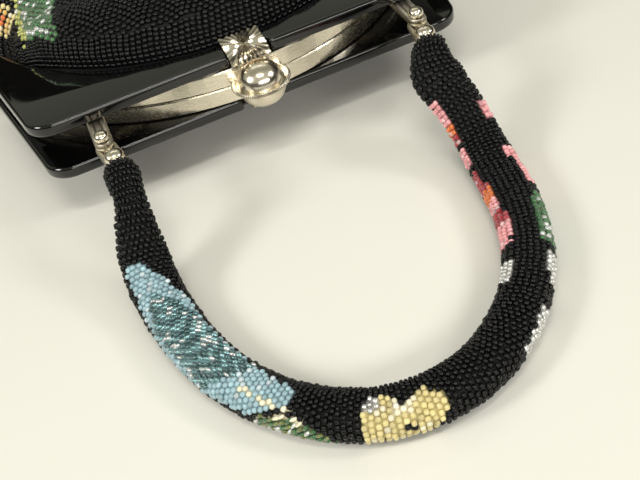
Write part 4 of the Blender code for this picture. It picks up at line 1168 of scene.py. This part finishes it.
# %% [markdown]
# ## The ball clasp
# The clasp is stamped and turned. A plate with fine ridges that fan out from its middle is folded over
# the rim into a smooth saddle, which holds a flange with a milled edge and a wide polished dome; the
# other half is a broad satin dome below. Turned pieces are a profile (radius, height) carried round an
# axis. The milled edge is r (1 - d (1 + cos k t) / 2) with k teeth. The ridges are a triangle wave in
# the angle about the plate's middle, and grow with the distance from it.

# %% Turned metal
CLASP_Y = MOUTH_Y - 0.0055
STAR_TILT = 0.13


def turned_piece(name, profile, centre, sides=180, teeth=0, tooth_rows=(), tooth_depth=0.0):
    """A closed piece turned round a vertical axis; chosen profile rows may carry milled teeth."""
    profile = np.asarray(profile, dtype=float)
    angles = 2 * np.pi * np.arange(sides) / sides
    cut = np.zeros((len(profile), 1))
    cut[list(tooth_rows)] = tooth_depth
    radius = profile[:, :1] * (1.0 - cut * (1.0 + np.cos(teeth * angles))[None] / 2)
    rings = np.stack([
        centre[0] + radius * np.cos(angles), centre[1] + radius * np.sin(angles),
        np.broadcast_to(profile[:, 1:], radius.shape)], axis=-1)
    grooves = (cut > 0) * (1.0 + np.cos(teeth * angles))[None] / 2 if teeth else np.zeros(radius.shape)
    return mark_grooves(outward(tube_piece(name, rings)), grooves)


def dome_rows(radius, height, base, steps=22, squareness=2.0):
    """Profile of a dome over its base level; a negative height hangs it below."""
    t = np.linspace(0.0, np.pi / 2, steps)[:-1]
    power = 2.0 / squareness
    rows = np.column_stack([radius * np.cos(t) ** power, base + height * np.sin(t) ** power])
    return np.concatenate([rows, [[radius * 0.02, base + height]]])

# %% Bent sheet metal
def bent_sheet(name, path, widths, thickness, steps=60, sides=28):
    """Sheet metal bent along a path in (y, z) with rounded long edges and its own width at each place."""
    path = np.asarray(path, dtype=float)
    spans = np.linalg.norm(np.diff(path, axis=0), axis=1)
    keys = np.concatenate([[0.0], np.cumsum(spans)]) / spans.sum()
    places = np.linspace(0.0, 1.0, steps)
    line = smooth_values(keys, path, places)
    half_width = smooth_values(keys, np.asarray(widths, dtype=float) / 2, places)
    along = unit(np.gradient(line, axis=0))
    normal = np.column_stack([-along[:, 1], along[:, 0]])
    angles = 2 * np.pi * (np.arange(sides) + 0.5) / sides
    across = np.sign(np.cos(angles)) * np.abs(np.cos(angles)) ** 0.35
    off = np.sign(np.sin(angles)) * np.abs(np.sin(angles)) ** 0.6 * thickness / 2
    y = line[:, None, 0] + normal[:, None, 0] * off
    z = line[:, None, 1] + normal[:, None, 1] * off
    x = across[None] * half_width[:, None]
    return outward(tube_piece(name, np.stack([x, y, z], axis=-1)))


def star_plate(name, level, centre_x, centre_y, half_x, half_y, bend, rays=26, thickness=0.0008, depth=0.0006):
    """A sheet ridged in rays from its middle, nearly level behind the rim and bent down round it."""
    corner = np.arctan2(half_y, half_x)
    corners = [corner, np.pi - corner, np.pi + corner, 2 * np.pi - corner]
    angles = np.sort(np.concatenate([2 * np.pi * np.arange(rays * 8) / (rays * 8), corners]))
    reach = 1.0 / np.maximum(np.abs(np.cos(angles)) / half_x, np.abs(np.sin(angles)) / half_y)
    wave = np.abs((angles * rays / (2 * np.pi)) % 1.0 - 0.5) * 2
    shares = np.array([0.01, 0.05, 0.10, 0.18, 0.28, 0.40, 0.52, 0.64, 0.76, 0.86, 0.94, 1.0])[:, None]
    deep = wave[None] * np.clip(shares / 0.25, 0.0, 1.0)
    deep = np.concatenate([deep, np.zeros_like(deep)])
    shares = np.concatenate([shares, shares[::-1]])
    top_side = np.arange(len(shares))[:, None] < len(shares) // 2
    off = np.where(top_side, thickness / 2 - depth * deep, -thickness / 2)
    run = centre_y + shares * reach * np.sin(angles)
    turn = np.maximum(MOUTH_Y - run, 0.0) / bend
    y = np.maximum(run, MOUTH_Y) - (bend + off) * np.sin(turn)
    z = level - bend + (bend + off) * np.cos(turn) + STAR_TILT * np.maximum(run - MOUTH_Y, 0.0)
    x = centre_x + shares * reach * np.cos(angles) + 0 * off
    # The ridges' valleys keep their depth, which the metal turns into painted shade
    return mark_grooves(outward(tube_piece(name, np.stack([x, y, z], axis=-1))), deep ** 1.3)

# %% Front half of the clasp
plate_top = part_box("front_plate")[1].z
plate_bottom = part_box("back_plate")[0].z
saddle_path = [
    (MOUTH_Y - 0.0008, plate_top - 0.0002), (MOUTH_Y - 0.0013, plate_top - 0.0012),
    (MOUTH_Y - 0.0017, plate_top - 0.0040), (MOUTH_Y - 0.0024, plate_top - 0.0080),
    (MOUTH_Y - 0.0042, MIDDLE_Z + 0.0024)]
clasp_parts = [
    star_plate("star", plate_top + 0.0008, -0.0010, MOUTH_Y + 0.0022, 0.0078, 0.0080, 0.0042),
    bent_sheet("saddle", saddle_path, (0.0136, 0.0130, 0.0124, 0.0120, 0.0110), 0.0009)]
flange = turned_piece("flange", [
    (0.0002, MIDDLE_Z + 0.0003), (0.0108, MIDDLE_Z + 0.0003), (0.0114, MIDDLE_Z + 0.0006),
    (0.01155, MIDDLE_Z + 0.0009), (0.01155, MIDDLE_Z + 0.0014), (0.0113, MIDDLE_Z + 0.0017),
    (0.0107, MIDDLE_Z + 0.00185), (0.0101, MIDDLE_Z + 0.0018), (0.0097, MIDDLE_Z + 0.0015),
    (0.0092, MIDDLE_Z + 0.0014), (0.0002, MIDDLE_Z + 0.0014)],
    (0.0, CLASP_Y), sides=504, teeth=84, tooth_rows=(2, 3, 4, 5), tooth_depth=0.030)
upper_dome = turned_piece(
    "upper_dome", np.concatenate([
        [(0.0002, MIDDLE_Z + 0.0012), (0.0086, MIDDLE_Z + 0.0012), (0.0088, MIDDLE_Z + 0.0017)],
        dome_rows(0.0085, 0.0074, MIDDLE_Z + 0.0018, squareness=2.15)]), (0.0, CLASP_Y - 0.0010))
clasp_front = join_pieces("clasp_front_metal", [*clasp_parts, flange, upper_dome])
finish_piece(sharp_edges(clasp_front, 34.0), dome_nickel, ("clasp_front",))

# %% Back half of the clasp
back_path = [
    (MOUTH_Y + 0.0088, plate_bottom - 0.0008), (MOUTH_Y + 0.0030, plate_bottom - 0.0008),
    (MOUTH_Y + 0.0008, plate_bottom - 0.0004), (MOUTH_Y - 0.0004, plate_bottom + 0.0008),
    (MOUTH_Y - 0.0012, plate_bottom + 0.0035), (MOUTH_Y - 0.0042, MIDDLE_Z - 0.0040)]
lower_dome = turned_piece(
    "lower_dome", np.concatenate([
        [(0.0002, MIDDLE_Z - 0.0003), (0.0092, MIDDLE_Z - 0.0003), (0.0094, MIDDLE_Z - 0.0008)],
        dome_rows(0.0090, -0.0074, MIDDLE_Z - 0.0011, squareness=2.1)]), (0.0, CLASP_Y))
back_saddle = bent_sheet("back_saddle", back_path, (0.0100, 0.0100, 0.0098, 0.0094, 0.0090, 0.0084), 0.0011)
clasp_back = join_pieces("clasp_back_metal", [back_saddle, lower_dome])
finish_piece(sharp_edges(clasp_back, 40.0), satin_nickel, ("clasp_back",))

# %% [markdown]
# ## Lugs, links and their pins
# A cast lug comes out from between the plates on each side, and a link hangs on it that holds the end
# of the handle. Both are bars with lengthwise flutes: across the bar the top goes down by
# d (1 - |sin(k x)|) with k flutes, and the plan closes in half circles at both ends. The pins end in
# plump domes, the lug's small and the handle's larger.

# %% Fluted bars
PIN_REACH = 0.0040
pin_low, pin_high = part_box("right_lug_pin")
LUG_X = (pin_low.x + pin_high.x) / 2
LUG_PIN_Y = (pin_low.y + pin_high.y) / 2
pin_low, pin_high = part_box("right_handle_pin")
HANDLE_PIN_X = (pin_low.x + pin_high.x) / 2
HANDLE_PIN_Y = (pin_low.y + pin_high.y) / 2


def fluted_bar(name, start, end, half_width, low, top, flutes=3, flute_depth=0.0005, steps=54):
    """A bar between two plan points with round ends and lengthwise flutes in its top and sides."""
    start = np.asarray(start)
    along = np.asarray(end) - start
    length = np.linalg.norm(along)
    along = along / length
    across = np.array([-along[1], along[0]])
    run = length * (1 - np.cos(np.linspace(0.06, np.pi - 0.06, steps))) / 2
    from_end = np.minimum(np.minimum(run, length - run) / half_width, 1.0)
    spread = np.sqrt(1.0 - (1.0 - from_end) ** 2)
    angles = 2 * np.pi * (np.arange(96) + 0.5) / 96
    side = np.sign(np.cos(angles)) * np.abs(np.cos(angles)) ** 0.45
    rise = np.sign(np.sin(angles)) * np.abs(np.sin(angles)) ** 0.45
    groove = flute_depth * (1 - np.abs(np.sin(flutes * np.pi * (side + 1) / 2))) ** 1.5 * (rise > 0)
    x = side[None] * half_width * spread[:, None]
    plan = start + run[:, None, None] * along + x[..., None] * across
    level = (low + top) / 2 + rise * (top - low) / 2 - groove
    rings = np.concatenate([plan, np.broadcast_to(level[None, :, None], (*x.shape, 1))], axis=-1)
    return mark_grooves(outward(tube_piece(name, rings)), np.broadcast_to(groove / flute_depth, x.shape))

# %% Lugs, links and pins
for side, word in ((-1, "left"), (1, "right")):
    lug_low, lug_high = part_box(word + "_lug")
    lug_pin = np.array([side * LUG_X, LUG_PIN_Y])
    handle_pin = np.array([side * HANDLE_PIN_X, HANDLE_PIN_Y])
    lug = fluted_bar(
        word + "_lug_metal", (side * LUG_X, lug_high.y), (side * LUG_X, lug_low.y), 0.0035,
        lug_low.z, lug_high.z)
    finish_piece(sharp_edges(lug, 40.0), satin_nickel, (word + "_lug",))
    link_low, link_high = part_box(word + "_link")
    away = unit(handle_pin - lug_pin)
    link = fluted_bar(
        word + "_link_metal", lug_pin - away * PIN_REACH, handle_pin + away * PIN_REACH, 0.0040,
        link_low.z, link_high.z, flutes=4)
    finish_piece(sharp_edges(link, 40.0), satin_nickel, (word + "_link",))
    for node, radius, height in (("_lug_pin", 0.0029, 0.0029), ("_handle_pin", 0.0038, 0.0034)):
        low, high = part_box(word + node)
        centre = ((low.x + high.x) / 2, (low.y + high.y) / 2)
        base = high.z - (0.0020 if node == "_lug_pin" else 0.0028)
        rows = np.concatenate([
            [(0.0004, low.z), (0.0019, low.z), (0.0020, low.z + 0.0002), (0.0020, low.z + 0.0007),
             (0.0012, low.z + 0.0007), (0.0012, base), (radius * 0.96, base), (radius, base + 0.0003)],
            dome_rows(radius, height - 0.0003, base + 0.0003, squareness=2.3)])
        pin = turned_piece(word + node + "_metal", rows, centre, sides=64)
        finish_piece(sharp_edges(pin, 40.0), dome_nickel, (word + node,))

# %% [markdown]
# ## Floor, lights and surroundings
# The bag lies on a pale warm sheet that curves up far behind. Five large lamps stand round it: one
# overhead, one low in front that lights the rims and the beads that face the viewer, one on each side
# and a weak one behind, so each dome shows a few small bright marks and shadows stay soft. The acrylic
# shows mostly what it mirrors, so the surroundings matter as much as the lamps. They are a dark room
# with a pale ceiling, and the ceiling's edge gives the plates their soft light band.

# %% Floor
def add_floor():
    """A wide pale sheet, level under the bag and curving up at the back."""
    y = np.concatenate([np.linspace(-2.0, 1.6, 19), 1.6 + 0.8 * np.sin(np.linspace(0.1, np.pi / 2, 12))])
    z = np.concatenate([np.zeros(19), 0.8 * (1 - np.cos(np.linspace(0.1, np.pi / 2, 12)))])
    across, along = np.meshgrid(np.linspace(-2.6, 2.6, 9), y)
    grid = np.stack([across, along, np.broadcast_to(z[:, None], across.shape)], axis=-1)
    piece = add_piece("floor", grid.reshape(-1, 3), quads=grid_quads(*across.shape))
    material, tree, shader = new_material("pale_sheet")
    cloudy = noise(tree, object_vector(tree), 6.0, 3.0)
    pale = mix_colour(tree, cloudy, (0.725, 0.715, 0.650), (0.765, 0.755, 0.695))
    tree.links.new(pale, shader.inputs["Base Color"])
    shader.inputs["Roughness"].default_value = 0.55
    shader.inputs["Specular IOR Level"].default_value = 0.25
    piece.data.materials.append(material)
    return piece

# %% Lamps
def add_lamp(name, place, target, size, power, colour):
    """A rectangular area lamp that looks at a point."""
    data = bpy.data.lights.new(name, "AREA")
    data.shape = "RECTANGLE"
    data.size, data.size_y = size
    data.energy = power
    data.color = colour
    lamp = bpy.data.objects.new(name, data)
    lamp.location = place
    lamp.rotation_euler = (Vector(target) - Vector(place)).to_track_quat("-Z", "Y").to_euler()
    bpy.context.scene.collection.objects.link(lamp)
    return lamp


stage = [
    add_floor(),
    add_lamp("window", (0.20, 0.80, 1.10), (0.0, 0.0, 0.03), (0.90, 0.11), 0.7, (1.0, 0.99, 0.95)),
    add_lamp("overhead", (-0.10, -0.45, 1.25), (0.0, 0.0, 0.0), (0.50, 0.10), 4.4, (1.0, 0.98, 0.93)),
    add_lamp("front", (0.05, -1.15, 0.62), (0.0, 0.0, 0.0), (1.10, 0.20), 8.6, (1.0, 0.98, 0.94)),
    add_lamp("left", (-0.95, -0.10, 0.75), (0.0, 0.0, 0.02), (0.30, 0.30), 6.2, (1.0, 0.98, 0.95)),
    add_lamp("right", (0.90, -0.45, 0.80), (0.0, 0.0, 0.02), (0.28, 0.28), 3.8, (1.0, 0.98, 0.95)),
]

# %% Room
def room(strength):
    """Dark walls up to an uneven line, and above it a warm ceiling, brightest behind the viewer."""
    world = bpy.data.worlds.new("room")
    world.use_nodes = True
    tree = world.node_tree
    direction = tree.nodes.new("ShaderNodeTexCoord").outputs["Generated"]
    parts = tree.nodes.new("ShaderNodeSeparateXYZ")
    tree.links.new(direction, parts.inputs["Vector"])
    centred = math_node(tree, "SUBTRACT", noise(tree, direction, 9.0, 3.0), 0.5)
    uneven = math_node(tree, "MULTIPLY", centred, 0.03)
    slope = math_node(tree, "MULTIPLY", parts.outputs["X"], -0.12)
    level = math_node(tree, "ADD", math_node(tree, "ADD", parts.outputs["Z"], slope), uneven)
    ceiling = map_range(tree, level, 0.472, 0.484, 0.0, 1.0)
    behind_viewer = map_range(tree, parts.outputs["Y"], -0.5, 0.1, 1.7, 0.6)
    ahead = map_range(tree, parts.outputs["Y"], 0.1, 0.6, 0.0, 0.4)
    ceiling = math_node(tree, "MULTIPLY", ceiling, math_node(tree, "ADD", behind_viewer, ahead))
    colour = mix_colour(tree, ceiling, (0.030, 0.029, 0.025), (0.92, 0.92, 0.75))
    background = tree.nodes["Background"]
    tree.links.new(colour, background.inputs["Color"])
    background.inputs["Strength"].default_value = strength
    return world


bpy.context.scene.world = room(0.44)
bpy.context.scene.view_settings.view_transform = "Standard"
print("lamps", len(stage) - 1)
